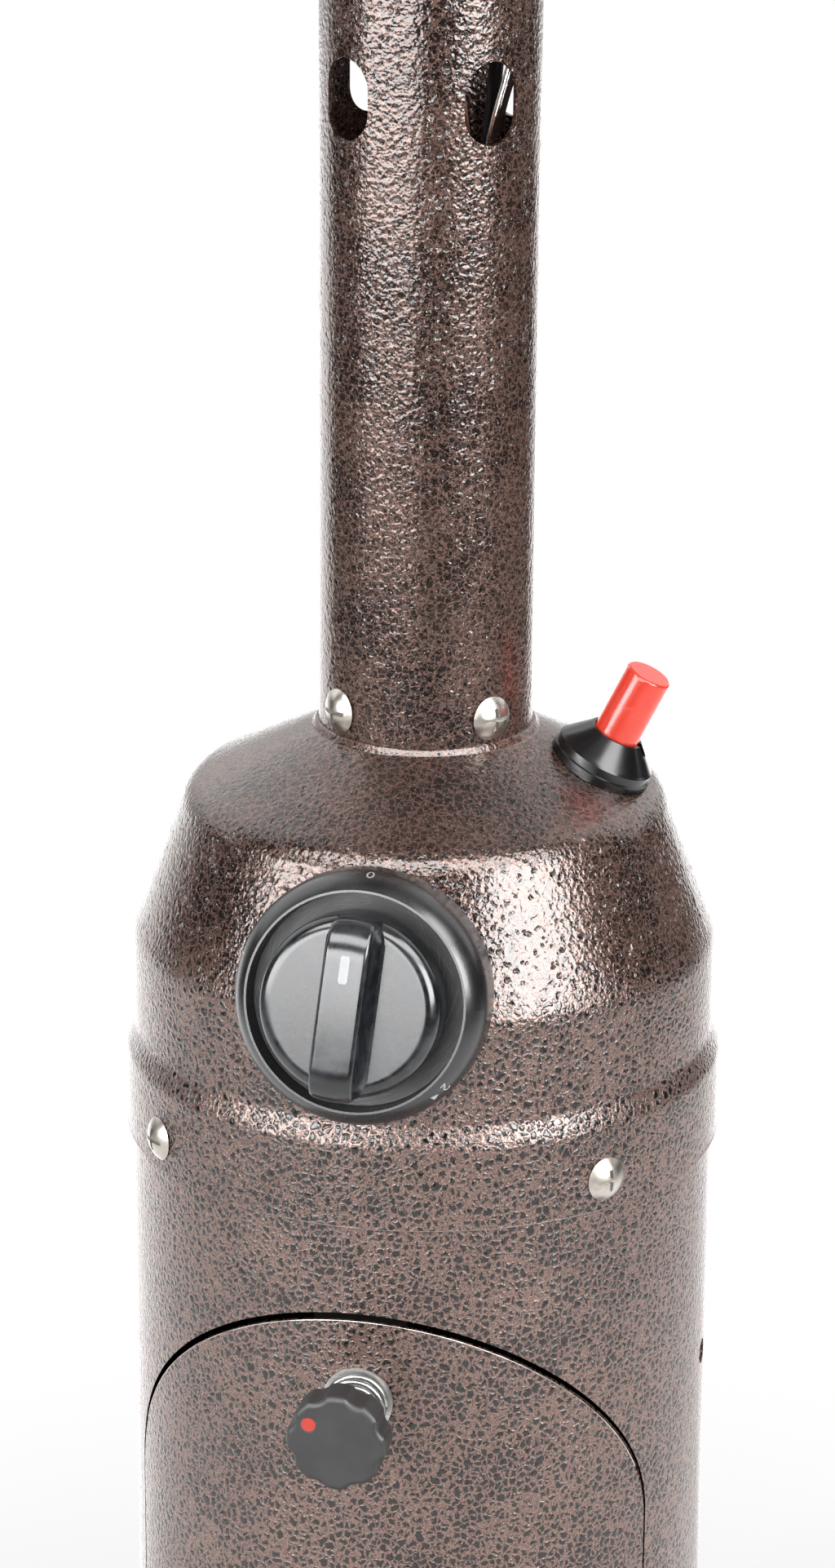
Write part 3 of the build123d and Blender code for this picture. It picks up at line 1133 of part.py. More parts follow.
def emitter_cup():
    """Spun cup on top of the pole: a collar, a floor and a flared, rolled rim."""
    cup = ring(CUP_BORE + CUP_SHEET, CUP_BORE, POLE_TOP - CUP_COLLAR_LENGTH, CUP_FLOOR_TOP)
    cup += ring(CUP_FLOOR_RADIUS, VENTURI_RADIUS + SLIP, POLE_TOP, CUP_FLOOR_TOP)
    rim, root = POLE_TOP + CUP_RIM_HEIGHT, CUP_FLOOR_RADIUS - CUP_SHEET
    cup += turned([
        (root - 1, POLE_TOP), (CUP_FLOOR_RADIUS, POLE_TOP), (CUP_RIM_RADIUS, rim),
        (CUP_RIM_RADIUS - CUP_SHEET, rim), (root, CUP_FLOOR_TOP), (root - 1, CUP_FLOOR_TOP),
    ])
    cup += Pos(0, 0, rim) * Torus(CUP_RIM_RADIUS - CUP_SHEET / 2, CUP_RIM_ROLL)
    for azimuth in POLE_AZIMUTHS:
        cup -= disc(SCREW_RADIUS + SLIP, -5, 5, cup_screw_plane(azimuth))
    for azimuth, radius in zip(PILOT_AZIMUTHS, (THERMOCOUPLE_RADIUS, PILOT_TUBE_RADIUS, WIRE_RADIUS)):
        point = service_hole(azimuth)
        cup -= Pos(point.X, point.Y, 0) * disc(radius + SERVICE_HOLE_ROOM, POLE_TOP - 1, CUP_FLOOR_TOP + 1)
    return cup


def cup_screws():
    """Screws through the cup's collar into the pole."""
    return group(truss_screw(cup_screw_plane(azimuth), SCREW_LENGTH / 2) for azimuth in POLE_AZIMUTHS)


def orifice_holder():
    """Brass hexagonal holder of the gas orifice, at the foot of the mixing tube."""
    shoulder = ORIFICE_BOTTOM + ORIFICE_HEX_HEIGHT
    holder = hexagon(ORIFICE_FLATS, ORIFICE_BOTTOM, shoulder)
    holder += disc(VENTURI_RADIUS - VENTURI_SHEET - SEAT, shoulder - 1, ORIFICE_TOP)
    nozzle = ORIFICE_TOP + ORIFICE_NOZZLE_HEIGHT
    holder += turned([(0, ORIFICE_TOP - 1), (4, ORIFICE_TOP - 1), (2, nozzle), (0, nozzle)])
    holder -= disc(MAIN_TUBE_RADIUS + SEAT, ORIFICE_BOTTOM - 1, ORIFICE_BOTTOM + SOCKET_DEPTH)
    return holder - disc(ORIFICE_RADIUS, ORIFICE_BOTTOM, nozzle + 1)


def mixing_tube():
    """Venturi tube from the orifice holder to the burner, with air windows and a flange."""
    low, bore = ORIFICE_BOTTOM + ORIFICE_HEX_HEIGHT + SEAT, VENTURI_RADIUS - VENTURI_SHEET
    wall = ring(VENTURI_RADIUS, bore, low, BURNER_BOTTOM + VENTURI_INSERTION)
    wall += ring(VENTURI_FLANGE_RADIUS, bore, CUP_FLOOR_TOP, CUP_FLOOR_TOP + VENTURI_FLANGE_SHEET)
    window = SlotOverall(VENTURI_WINDOW_HEIGHT, VENTURI_WINDOW_WIDTH, rotation=90)
    for azimuth in (0, 90):
        across = face_plane(0, azimuth, ORIFICE_TOP + VENTURI_WINDOW_RISE)
        wall -= across * extrude(window, VENTURI_RADIUS + 2, both=True)
    return wall


def burner_head():
    """Round stainless burner with a ring of flame slots in its side and a crimped top."""
    top, crimp = BURNER_BOTTOM + BURNER_HEIGHT, BURNER_CRIMP
    head = turned([
        (0, BURNER_BOTTOM), (BURNER_RADIUS - crimp, BURNER_BOTTOM), (BURNER_RADIUS, BURNER_BOTTOM + crimp),
        (BURNER_RADIUS, top - crimp), (BURNER_RADIUS - crimp, top), (0, top),
    ])
    head -= disc(BURNER_RADIUS - BURNER_SHEET - crimp, BURNER_BOTTOM + BURNER_SHEET, top - BURNER_SHEET)
    head -= disc(VENTURI_RADIUS + HINGE_RUNNING, BURNER_BOTTOM - 1, BURNER_BOTTOM + VENTURI_INSERTION + 1)
    half = BURNER_SLOT_WIDTH / 2
    slot = box(
        (-half, -BURNER_RADIUS - 1, BURNER_BOTTOM + BURNER_SLOT_LOW),
        (half, BURNER_SHEET + 2 * crimp - BURNER_RADIUS, top - BURNER_SLOT_HIGH),
    )
    for k in range(BURNER_SLOTS):
        head -= Rot(0, 0, k * 360 / BURNER_SLOTS) * slot
    return head


def pilot_bracket():
    """Bent strip on the head's floor whose shelf holds the pilot, thermocouple and electrode."""
    sheet, half = PILOT_BRACKET_SHEET, PILOT_BRACKET_WIDTH / 2
    front, top = PILOT_BACK - PILOT_BRACKET_DEPTH, PILOT_SHELF + sheet
    bracket = box((front, -half, CUP_FLOOR_TOP), (PILOT_BACK, half, CUP_FLOOR_TOP + sheet))
    bracket += box((PILOT_BACK - sheet, -half, CUP_FLOOR_TOP), (PILOT_BACK, half, top))
    bracket += box((front, -half, PILOT_SHELF), (PILOT_BACK, half, top))
    for side, radius in ((-1, THERMOCOUPLE_TIP_RADIUS), (0, PILOT_BODY_RADIUS), (1, ELECTRODE_RADIUS)):
        hole = disc(radius + SEAT, PILOT_SHELF - 1, top + 1)
        bracket -= Pos(PILOT_RADIUS, side * PILOT_SPACING, 0) * hole
    return bracket


def socketed(side, radius, top, lead):
    """Round piece that stands through the pilot shelf, with a socket at its foot for its lead."""
    piece = disc(radius, PILOT_FOOT, top) - disc(lead + SEAT, PILOT_FOOT - 1, PILOT_FOOT + SOCKET_DEPTH)
    return Pos(PILOT_RADIUS, side * PILOT_SPACING, 0) * piece


def pilot_burner():
    """Pilot burner body with a hood over its flame port."""
    hood = PILOT_SHELF + PILOT_HOOD_RISE
    body = socketed(0, PILOT_BODY_RADIUS, hood, PILOT_TUBE_RADIUS)
    here = Pos(PILOT_RADIUS, 0, 0)
    for high in (PILOT_FOOT + 9, PILOT_SHELF - SLIP):
        body += here * hex_nut(Plane.XY, high - 6, high, PILOT_NUT_FLATS, PILOT_BODY_RADIUS - 1)
    return body - here * box((-PILOT_BODY_RADIUS - 1, -1.5, hood - 6), (0, 1.5, hood - 2))


def thermocouple_tip():
    """Stainless sensing tip beside the pilot flame."""
    top = PILOT_SHELF + THERMOCOUPLE_TIP_RISE
    tip = socketed(-1, THERMOCOUPLE_TIP_RADIUS, top, THERMOCOUPLE_RADIUS)
    return fillet(tip.edges().sort_by(Axis.Z)[-1:], THERMOCOUPLE_TIP_RADIUS * 0.8)


def spark_electrode():
    """Ceramic insulator with a bent spark wire that points at the pilot's hood."""
    shoulder, top = PILOT_SHELF + ELECTRODE_RISE, PILOT_SHELF + ELECTRODE_WIRE_RISE
    ceramic = socketed(1, ELECTRODE_RADIUS, shoulder, WIRE_RADIUS)
    ceramic = chamfer(ceramic.edges().sort_by(Axis.Z)[-1:], ELECTRODE_RADIUS * 0.4)
    wire = disc(ELECTRODE_WIRE_RADIUS, shoulder - 1, top)
    thick = 2 * ELECTRODE_WIRE_RADIUS
    wire += box((-thick / 2, -ELECTRODE_WIRE_REACH, top - thick), (thick / 2, 0.6, top))
    return ceramic + Pos(PILOT_RADIUS, PILOT_SPACING, 0) * wire


def emitter_screen():
    """Stainless emitter tube that stands in the cup and glows round the burner."""
    return ring(SCREEN_RADIUS, SCREEN_RADIUS - SCREEN_SHEET, CUP_FLOOR_TOP, SCREEN_TOP)


def emitter_cap():
    """Lid of the emitter, with a turned-down rim and holes for the studs."""
    bore = SCREEN_RADIUS + CAP_GAP
    cap = disc(bore + CAP_SHEET, SCREEN_TOP, CAP_TOP)
    cap += ring(bore + CAP_SHEET, bore, SCREEN_TOP - CAP_RIM_DROP, CAP_TOP)
    for point in stud_points():
        cap -= Pos(point.X, point.Y, 0) * disc(STUD_TIP_RADIUS + SEAT, SCREEN_TOP - 1, CAP_TOP + 1)
    return cap


def stud_points():
    """Where the reflector's studs stand, on a circle about the pole's axis."""
    return [polar(STUD_CIRCLE, k * 360 / STUD_COUNT, 0) for k in range(STUD_COUNT)]


def reflector_studs():
    """Hexagonal stand-offs with threaded tips, between the emitter's lid and the reflector."""
    stud = hexagon(STUD_FLATS, CAP_TOP, CROWN)
    stud += disc(STUD_TIP_RADIUS, CAP_TOP - STUD_TAIL, CROWN + REFLECTOR_SHEET + STUD_TIP_LENGTH)
    return group(Pos(point.X, point.Y, 0) * stud for point in stud_points())


def reflector():
    """Wide spun reflector: a flat crown, a shallow cone and a rolled edge."""
    rim, sheet = CROWN - REFLECTOR_DROP, REFLECTOR_SHEET
    dish = turned([
        (0, CROWN), (REFLECTOR_FLAT_RADIUS, CROWN), (REFLECTOR_RADIUS, rim), (REFLECTOR_RADIUS, rim + sheet),
        (REFLECTOR_FLAT_RADIUS, CROWN + sheet), (0, CROWN + sheet),
    ])
    dish += Pos(0, 0, rim) * Torus(REFLECTOR_RADIUS, REFLECTOR_ROLL)
    for point in stud_points():
        dish -= Pos(point.X, point.Y, 0) * disc(STUD_TIP_RADIUS + SLIP, CROWN - 1, CROWN + sheet + 1)
    return dish


def reflector_washers():
    """Flat washers on the studs, above the reflector."""
    low = CROWN + REFLECTOR_SHEET
    washer = ring(WASHER_RADIUS, STUD_TIP_RADIUS + SLIP, low, low + WASHER_THICKNESS)
    return group(Pos(point.X, point.Y, 0) * washer for point in stud_points())


def wing_nuts():
    """Wing nuts that clamp the reflector."""
    low, tip, top = CROWN + REFLECTOR_SHEET + WASHER_THICKNESS, WING_SPAN / 2, WING_HEIGHT
    root = WING_NUT_RADIUS / 2
    wing = make_face(Polyline(
        (root, 0), (WING_NUT_RADIUS + 1, 0), (tip, top - 2), (tip - 5, top), (root, top / 2), close=True,
    ))
    wing = fillet(wing.vertices().filter_by(lambda v: v.Y > top - 3), WING_ROUND)
    blade = extrude(Plane.XZ * wing, WING_THICKNESS / 2, both=True)
    nut = disc(WING_NUT_RADIUS, 0, WING_NUT_HEIGHT) + blade + Rot(0, 0, 180) * blade
    nut -= disc(STUD_TIP_RADIUS + HINGE_RUNNING, -1, top + 1)
    return group(
        Pos(point.X, point.Y, low) * Rot(0, 0, WING_TURN * k) * nut for k, point in enumerate(stud_points())
    )


def subparts():
    """Every node of the heater, by name."""
    return {
        "base_plate": base_plate(),
        "base_weight": base_weight(),
        "rubber_feet": rubber_feet(),
        "base_bolts": base_bolts(),
        "base_nuts": base_nuts(),
        "body_shell": body_shell(),
        "latch_tab": latch_tab(),
        "door_panel": door_panel(),
        "door_knob": door_knob(),
        "door_knob_dot": door_knob_dot(),
        "latch_shaft": latch_shaft(),
        "latch_pin": latch_pin(),
        "latch_seat_washer": latch_washer(SEAT_WASHER_LOW),
        "latch_push_washer": latch_washer(PUSH_WASHER_LOW),
        "door_knob_spring": door_knob_spring(),
        "dome_housing": dome_housing(),
        "collar_screws": collar_screws(),
        "collar_nuts": collar_nuts(),
        "pole": pole(),
        "pole_screws": pole_screws(),
        "pole_nuts": pole_nuts(),
        "dial_ring": dial_ring(),
        "control_knob": control_knob(),
        "valve_stem": valve_stem(),
        "stem_collar": stem_collar(),
        "stem_spring": stem_spring(),
        "gas_valve": gas_valve(),
        "valve_screws": valve_screws(),
        "valve_bracket": valve_bracket(),
        "regulator": regulator(),
        "regulator_inlet": regulator_inlet(),
        "inlet_disc": inlet_disc(),
        "feed_tube": feed_tube(),
        "tilt_switch": tilt_switch(),
        "tilt_switch_lead": tilt_switch_lead(),
        "igniter_collar": igniter_collar(),
        "igniter_barrel": igniter_barrel(),
        "igniter_nut": igniter_nut(),
        "igniter_button": igniter_button(),
        "igniter_spring": igniter_spring(),
        "igniter_wire": igniter_wire(),
        "main_gas_tube": main_gas_tube(),
        "pilot_tube": pilot_tube(),
        "thermocouple_lead": thermocouple_lead(),
        "emitter_cup": emitter_cup(),
        "cup_screws": cup_screws(),
        "orifice_holder": orifice_holder(),
        "mixing_tube": mixing_tube(),
        "burner_head": burner_head(),
        "pilot_bracket": pilot_bracket(),
        "pilot_burner": pilot_burner(),
        "thermocouple_tip": thermocouple_tip(),
        "spark_electrode": spark_electrode(),
        "emitter_screen": emitter_screen(),
        "emitter_cap": emitter_cap(),
        "reflector_studs": reflector_studs(),
        "reflector": reflector(),
        "reflector_washers": reflector_washers(),
        "wing_nuts": wing_nuts(),
    }


os.makedirs("parts", exist_ok=True)
for node, solid in subparts().items():
    export_step(solid, f"parts/{node}.step")
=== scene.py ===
"""Looks of a tabletop propane heater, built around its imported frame.

The heater stands on z = 0 with its pole along +Z, its door and control knob facing -Y and its igniter on
the +X side. Every size is in metres and every colour is linear.
"""
import logging
import math
from dataclasses import dataclass
from enum import Enum
from functools import partial
from typing import Callable, ClassVar, Iterable, Sequence

import bmesh
import bpy
from mathutils import Matrix, Vector
from mathutils.bvhtree import BVHTree


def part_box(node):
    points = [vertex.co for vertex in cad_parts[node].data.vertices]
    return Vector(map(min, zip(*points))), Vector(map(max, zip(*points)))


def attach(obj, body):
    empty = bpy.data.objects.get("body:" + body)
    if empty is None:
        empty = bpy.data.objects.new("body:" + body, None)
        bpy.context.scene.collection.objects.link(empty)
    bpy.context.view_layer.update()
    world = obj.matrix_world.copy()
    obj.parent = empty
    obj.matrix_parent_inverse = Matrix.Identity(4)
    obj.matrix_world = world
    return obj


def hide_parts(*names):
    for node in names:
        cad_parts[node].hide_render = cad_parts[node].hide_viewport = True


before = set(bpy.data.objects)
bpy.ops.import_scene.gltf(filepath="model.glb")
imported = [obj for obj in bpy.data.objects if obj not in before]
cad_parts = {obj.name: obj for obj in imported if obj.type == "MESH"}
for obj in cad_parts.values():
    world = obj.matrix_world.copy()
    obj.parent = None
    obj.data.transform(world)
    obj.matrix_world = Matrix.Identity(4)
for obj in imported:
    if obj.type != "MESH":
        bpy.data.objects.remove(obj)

LOG = logging.getLogger("heater")
MM = 0.001
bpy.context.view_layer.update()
Colour = tuple[float, float, float]
Point = tuple[float, float, float]
Socket = bpy.types.NodeSocket
Piece = bpy.types.Object
Surface = dict[str, object]
UP = (0.0, 0.0, 1.0)
BACK_WAY = (-0.383, 0.924, 0.0)  # from the heater to the backdrop


class Slot(Enum):
    """Material slots of the record, named for the added pieces."""

    BRONZE = "hammered_bronze"
    BLACK = "black_plastic"
    STAINLESS = "stainless"


class Body(Enum):
    """Bodies of the frame that the added pieces ride on."""

    STAND = "stand"
    DOOR = "door"
    CONTROL = "control"


# ---- shader wiring ----
def rgba(colour: Colour) -> tuple[float, float, float, float]:
    """Adds full opacity to a colour."""
    return (*colour, 1.0)


class Wiring:
    """Places and joins the shader nodes of one tree."""

    def __init__(self, tree: bpy.types.NodeTree) -> None:
        """Keeps the tree that the nodes go in."""
        self.tree = tree

    def add(self, kind: str, inputs: dict | None = None, **settings: object) -> bpy.types.Node:
        """Places one shader node.

        Args:
            kind: the node's type, without its ShaderNode prefix.
            inputs: sockets to join, or plain values to set, by the input's name or number.
            settings: the node's own properties.

        Returns:
            The node.
        """
        node = self.tree.nodes.new("ShaderNode" + kind)
        for name, value in settings.items():
            setattr(node, name, value)
        self.join(node, inputs or {})
        return node

    def join(self, node: bpy.types.Node, inputs: dict) -> None:
        """Joins or sets a node's inputs.

        Args:
            node: the node.
            inputs: sockets to join, or plain values to set, by the input's name or number.
        """
        for key, value in inputs.items():
            if isinstance(value, Socket):
                self.tree.links.new(value, node.inputs[key])
            else:
                node.inputs[key].default_value = value

    def maths(self, operation: str, *values: object, clamp: bool = False) -> Socket:
        """Result of a maths node on the given values."""
        return self.add("Math", dict(enumerate(values)), operation=operation, use_clamp=clamp).outputs[0]

    def times(self, first: object, second: object) -> Socket:
        """Product of two values."""
        return self.maths("MULTIPLY", first, second)

    def plus(self, first: object, second: object, clamp: bool = False) -> Socket:
        """Sum of two values."""
        return self.maths("ADD", first, second, clamp=clamp)

    def most(self, first: object, second: object) -> Socket:
        """Greater of two values."""
        return self.maths("MAXIMUM", first, second)

    def flip(self, value: object) -> Socket:
        """One less a value."""
        return self.maths("SUBTRACT", 1.0, value)

    def height(self, vector: object) -> Socket:
        """Upward part of a vector."""
        return self.add("SeparateXYZ", {0: vector}).outputs["Z"]

    def vector(self, operation: str, *values: object) -> Socket:
        """Vector result of a vector maths node on the given values."""
        return self.add("VectorMath", dict(enumerate(values)), operation=operation).outputs["Vector"]

    def scaled(self, vector: object, factor: object) -> Socket:
        """A vector times a number."""
        return self.add("VectorMath", {0: vector, "Scale": factor}, operation="SCALE").outputs["Vector"]

    def measure(self, operation: str, *values: object) -> Socket:
        """Number that a vector maths node gives, such as a length or a dot product."""
        return self.add("VectorMath", dict(enumerate(values)), operation=operation).outputs["Value"]

    def ease(self, value: object, start: object, end: object, low: float = 0.0, high: float = 1.0) -> Socket:
        """Smooth change from low to high as a value goes from start to end."""
        inputs = {"Value": value, "From Min": start, "From Max": end, "To Min": low, "To Max": high}
        return self.add("MapRange", inputs, interpolation_type="SMOOTHSTEP").outputs["Result"]

    def mix(self, share: object, first: object, second: object) -> Socket:
        """Colour between two colours."""
        return self.add("Mix", {0: share, 6: first, 7: second}, data_type="RGBA").outputs[2]

    def blend(self, share: object, first: object, second: object) -> Socket:
        """Number between two numbers."""
        return self.add("Mix", {0: share, 2: first, 3: second}, data_type="FLOAT").outputs[0]

    def noise(self, vector: object, scale: object, detail: float = 2.0, rough: float = 0.5) -> Socket:
        """Value of a noise texture, mostly from 0.3 to 0.7."""
        inputs = {"Vector": vector, "Scale": scale, "Detail": detail, "Roughness": rough}
        return self.add("TexNoise", inputs).outputs[0]

    def wander(self, vector: object, scale: float, reach: float) -> Socket:
        """Offset that drifts from place to place, by which a pattern is bent."""
        drift = self.add("TexNoise", {"Vector": vector, "Scale": scale, "Detail": 3.0}).outputs["Color"]
        return self.scaled(self.vector("SUBTRACT", drift, (0.5, 0.5, 0.5)), reach)

    def cells(self, vector: object, scale: float, feature: str = "F1") -> dict[str, Socket]:
        """Outputs of a pattern of cells."""
        node = self.add("TexVoronoi", {"Vector": vector, "Scale": scale}, feature=feature)
        return {socket.name: socket for socket in node.outputs}

    def bump(self, height: object, depth: float, **under: Socket) -> Socket:
        """Normal of a surface whose full height is the given depth in metres, over another Normal."""
        return self.add("Bump", {"Height": height, "Distance": depth, **under}).outputs["Normal"]

    def place(self) -> Socket:
        """Place on the heater at rest, in metres."""
        return self.add("TexCoord").outputs["Object"]


class Effect:
    """A shader node group that several materials share."""

    def __init__(self, name: str, inputs: dict[str, object], outputs: Sequence[str]) -> None:
        """Makes the group with its named sockets, of which the first input is the place on the heater.

        Args:
            name: the group's name.
            inputs: the starting value of each input: a number, a colour or a vector.
            outputs: the name of each output: Colour is a colour, and the rest are numbers.
        """
        self.tree = bpy.data.node_groups.new(name, "ShaderNodeTree")
        sockets = self.tree.interface
        for label, start in {"Place": (0.0, 0.0, 0.0), **inputs}.items():
            kind = "Float" if isinstance(start, float) else {3: "Vector", 4: "Color"}[len(start)]
            sockets.new_socket(label, in_out="INPUT", socket_type="NodeSocket" + kind).default_value = start
        for label in outputs:
            kind = "Color" if label == "Colour" else "Float"
            sockets.new_socket(label, in_out="OUTPUT", socket_type="NodeSocket" + kind)
        self.wiring = Wiring(self.tree)
        self.given = self.tree.nodes.new("NodeGroupInput").outputs
        self.result = self.tree.nodes.new("NodeGroupOutput")

    def give(self, **values: Socket) -> None:
        """Joins the group's outputs."""
        self.wiring.join(self.result, values)

    def use(self, wiring: Wiring, **values: object) -> dict[str, Socket]:
        """Places the group in a material.

        Args:
            wiring: the material's tree.
            values: sockets or values by input name, with an underscore for each space.

        Returns:
            The group's outputs by name.
        """
        named = {key.replace("_", " "): value for key, value in values.items()}
        node = wiring.add("Group", node_tree=self.tree)
        wiring.join(node, {"Place": wiring.place(), **named})
        return {socket.name: socket for socket in node.outputs}


class Effects:
    """The shared surface effects, each built once."""

    def __init__(self) -> None:
        """Builds every group."""
        self.hammered_grain = self._hammered_grain()
        self.turned_lines = self._turned_lines()
        self.edge_wear = self._edge_wear()
        self.handling_marks = self._handling_marks()
        self.settled_dust = self._settled_dust()

    @staticmethod
    def _hammered_grain() -> Effect:
        """Dark puddles of enamel in a copper-coloured net, as hammer-finish paint dries.

        Returns:
            The group.
        """
        effect = Effect(
            "hammered_grain",
            {"Cell Size": 2.0 * MM, "Puddle": rgba((0, 0, 0)), "Vein": rgba((1, 1, 1)), "Pitting": 0.3,
             "Ripple": 0.3, "Swell": 0.0},
            ("Colour", "Height", "Metal", "Roughness"),
        )
        w, given = effect.wiring, effect.given
        spot = w.scaled(given["Place"], w.maths("DIVIDE", 1.0, given["Cell Size"]))
        soft = w.vector("ADD", spot, w.wander(spot, 0.8, 1.2))
        frayed = w.vector("ADD", soft, w.wander(spot, 2.8, 0.95))
        edge = w.cells(frayed, 1.0, "DISTANCE_TO_EDGE")["Distance"]
        twig = w.cells(frayed, 2.1, "DISTANCE_TO_EDGE")["Distance"]
        speckle = w.noise(spot, 6.0, 2.0, 0.7)
        patch = w.noise(given["Place"], 45.0, 3.0, 0.6)
        width = w.times(w.ease(patch, 0.3, 0.7, 0.1, 0.21), w.ease(speckle, 0.3, 0.7, 0.4, 1.5))
        net = w.flip(w.ease(edge, 0.0, width))
        twigs = w.flip(w.ease(twig, 0.0, w.times(width, 1.2)))
        twigs = w.times(twigs, w.ease(patch, 0.35, 0.65, 0.1, 0.55))
        net = w.times(w.most(net, twigs), w.ease(speckle, 0.25, 0.55, 0.45, 1.0))
        drop = w.cells(soft, 1.0)
        shore = w.cells(w.vector("ADD", soft, w.wander(spot, 2.4, 0.5)), 1.0, "DISTANCE_TO_EDGE")["Distance"]
        moat = w.times(w.ease(patch, 0.3, 0.7, 0.1, 0.22), w.ease(speckle, 0.3, 0.7, 0.6, 1.4))
        ground = w.flip(w.ease(shore, w.times(moat, 0.55), moat))
        ground = w.times(ground, w.ease(speckle, 0.34, 0.62, 0.28, 1.0))
        vein = w.blend(given["Swell"], net, ground)
        chance = w.add("SeparateColor", {0: drop["Color"]}).outputs[0]
        size = w.ease(chance, 0.1, 1.0, 0.14, 0.5)
        pits = w.times(w.times(size, w.ease(drop["Distance"], 0.0, size)), given["Pitting"])
        bead = w.times(w.ease(shore, 0.02, 0.34), 0.075)
        ripple = w.times(w.noise(spot, 1.5, 1.0), given["Ripple"])
        effect.give(
            Colour=w.mix(vein, given["Puddle"], given["Vein"]),
            Height=w.plus(w.blend(given["Swell"], pits, bead), ripple),
            Metal=w.times(vein, 0.2),
            Roughness=w.plus(0.13, w.times(vein, 0.16)),
        )
        return effect

    @staticmethod
    def _turned_lines() -> Effect:
        """Fine rings round an axis, left by a lathe, a spinning former or a polishing wheel.

        Returns:
            The group.
        """
        effect = Effect(
            "turned_lines", {"Centre": (0.0, 0.0, 0.0), "Axis": UP, "Spacing": 0.8 * MM},
            ("Tone", "Height", "Radius"),
        )
        w, given = effect.wiring, effect.given
        arm = w.vector("SUBTRACT", given["Place"], given["Centre"])
        along = w.measure("DOT_PRODUCT", arm, given["Axis"])
        radius = w.measure("LENGTH", w.vector("SUBTRACT", arm, w.scaled(given["Axis"], along)))
        track = w.add("CombineXYZ", {"X": radius, "Y": along}).outputs["Vector"]
        ridge = w.noise(w.scaled(track, w.maths("DIVIDE", 1.0, given["Spacing"])), 1.0, 3.0, 0.7)
        effect.give(Tone=w.ease(ridge, 0.32, 0.68), Height=ridge, Radius=radius)
        return effect

    @staticmethod
    def _edge_wear() -> Effect:
        """Rubbed edges, broken up along their length.

        Returns:
            The group.
        """
        effect = Effect("edge_wear", {"Width": 0.6 * MM, "Break Size": 4.0 * MM}, ("Mask",))
        w, given = effect.wiring, effect.given
        rounded = w.add("Bevel", {"Radius": given["Width"]}, samples=4).outputs["Normal"]
        straight = w.add("NewGeometry").outputs["Normal"]
        turn = w.flip(w.measure("DOT_PRODUCT", rounded, straight))
        breaks = w.noise(given["Place"], w.maths("DIVIDE", 1.0, given["Break Size"]), 3.0, 0.6)
        effect.give(Mask=w.times(w.ease(turn, 0.015, 0.16), w.ease(breaks, 0.34, 0.6)))
        return effect

    @staticmethod
    def _handling_marks() -> Effect:
        """Smudges and hair scratches that hands and tools leave.

        Returns:
            The group.
        """
        effect = Effect("handling_marks", {"Size": 12.0 * MM}, ("Smudge", "Scratch"))
        w, given = effect.wiring, effect.given
        spot = w.scaled(given["Place"], w.maths("DIVIDE", 1.0, given["Size"]))
        effect.give(Smudge=w.ease(w.noise(spot, 1.3, 4.0, 0.62), 0.36, 0.66))
        lines = []
        for turn in ((0.3, 0.2, 0.5), (1.1, 0.7, 2.1)):
            long_way = w.add("Mapping", {"Vector": spot, "Rotation": turn, "Scale": (0.5, 14.0, 9.0)})
            lines.append(w.ease(w.noise(long_way.outputs["Vector"], 1.0, 1.0), 0.66, 0.74))
        effect.give(Scratch=w.most(*lines))
        return effect

    @staticmethod
    def _settled_dust() -> Effect:
        """Thin dust on what faces up.

        Returns:
            The group.
        """
        effect = Effect("settled_dust", {}, ("Mask",))
        w = effect.wiring
        upward = w.height(w.add("NewGeometry").outputs["Normal"])
        clumps = w.noise(effect.given["Place"], 160.0, 5.0, 0.7)
        effect.give(Mask=w.times(w.ease(upward, 0.4, 0.95), w.ease(clumps, 0.4, 0.75)))
        return effect


EFFECTS = Effects()


# ---- finishes ----
@dataclass(frozen=True)
class Finish:
    """A surface finish, which makes one material."""

    name: str

    def material(self) -> bpy.types.Material:
        """The finish's material, made the first time that it is asked for.

        Returns:
            The material.
        """
        made = bpy.data.materials.get(self.name)
        if made is None:
            made = bpy.data.materials.new(self.name)
            made.use_nodes = True
            wiring = Wiring(made.node_tree)
            wiring.join(made.node_tree.nodes["Principled BSDF"], self.surface(wiring))
        return made

    def surface(self, wiring: Wiring) -> Surface:
        """What goes into the shader's sockets, by name."""
        raise NotImplementedError


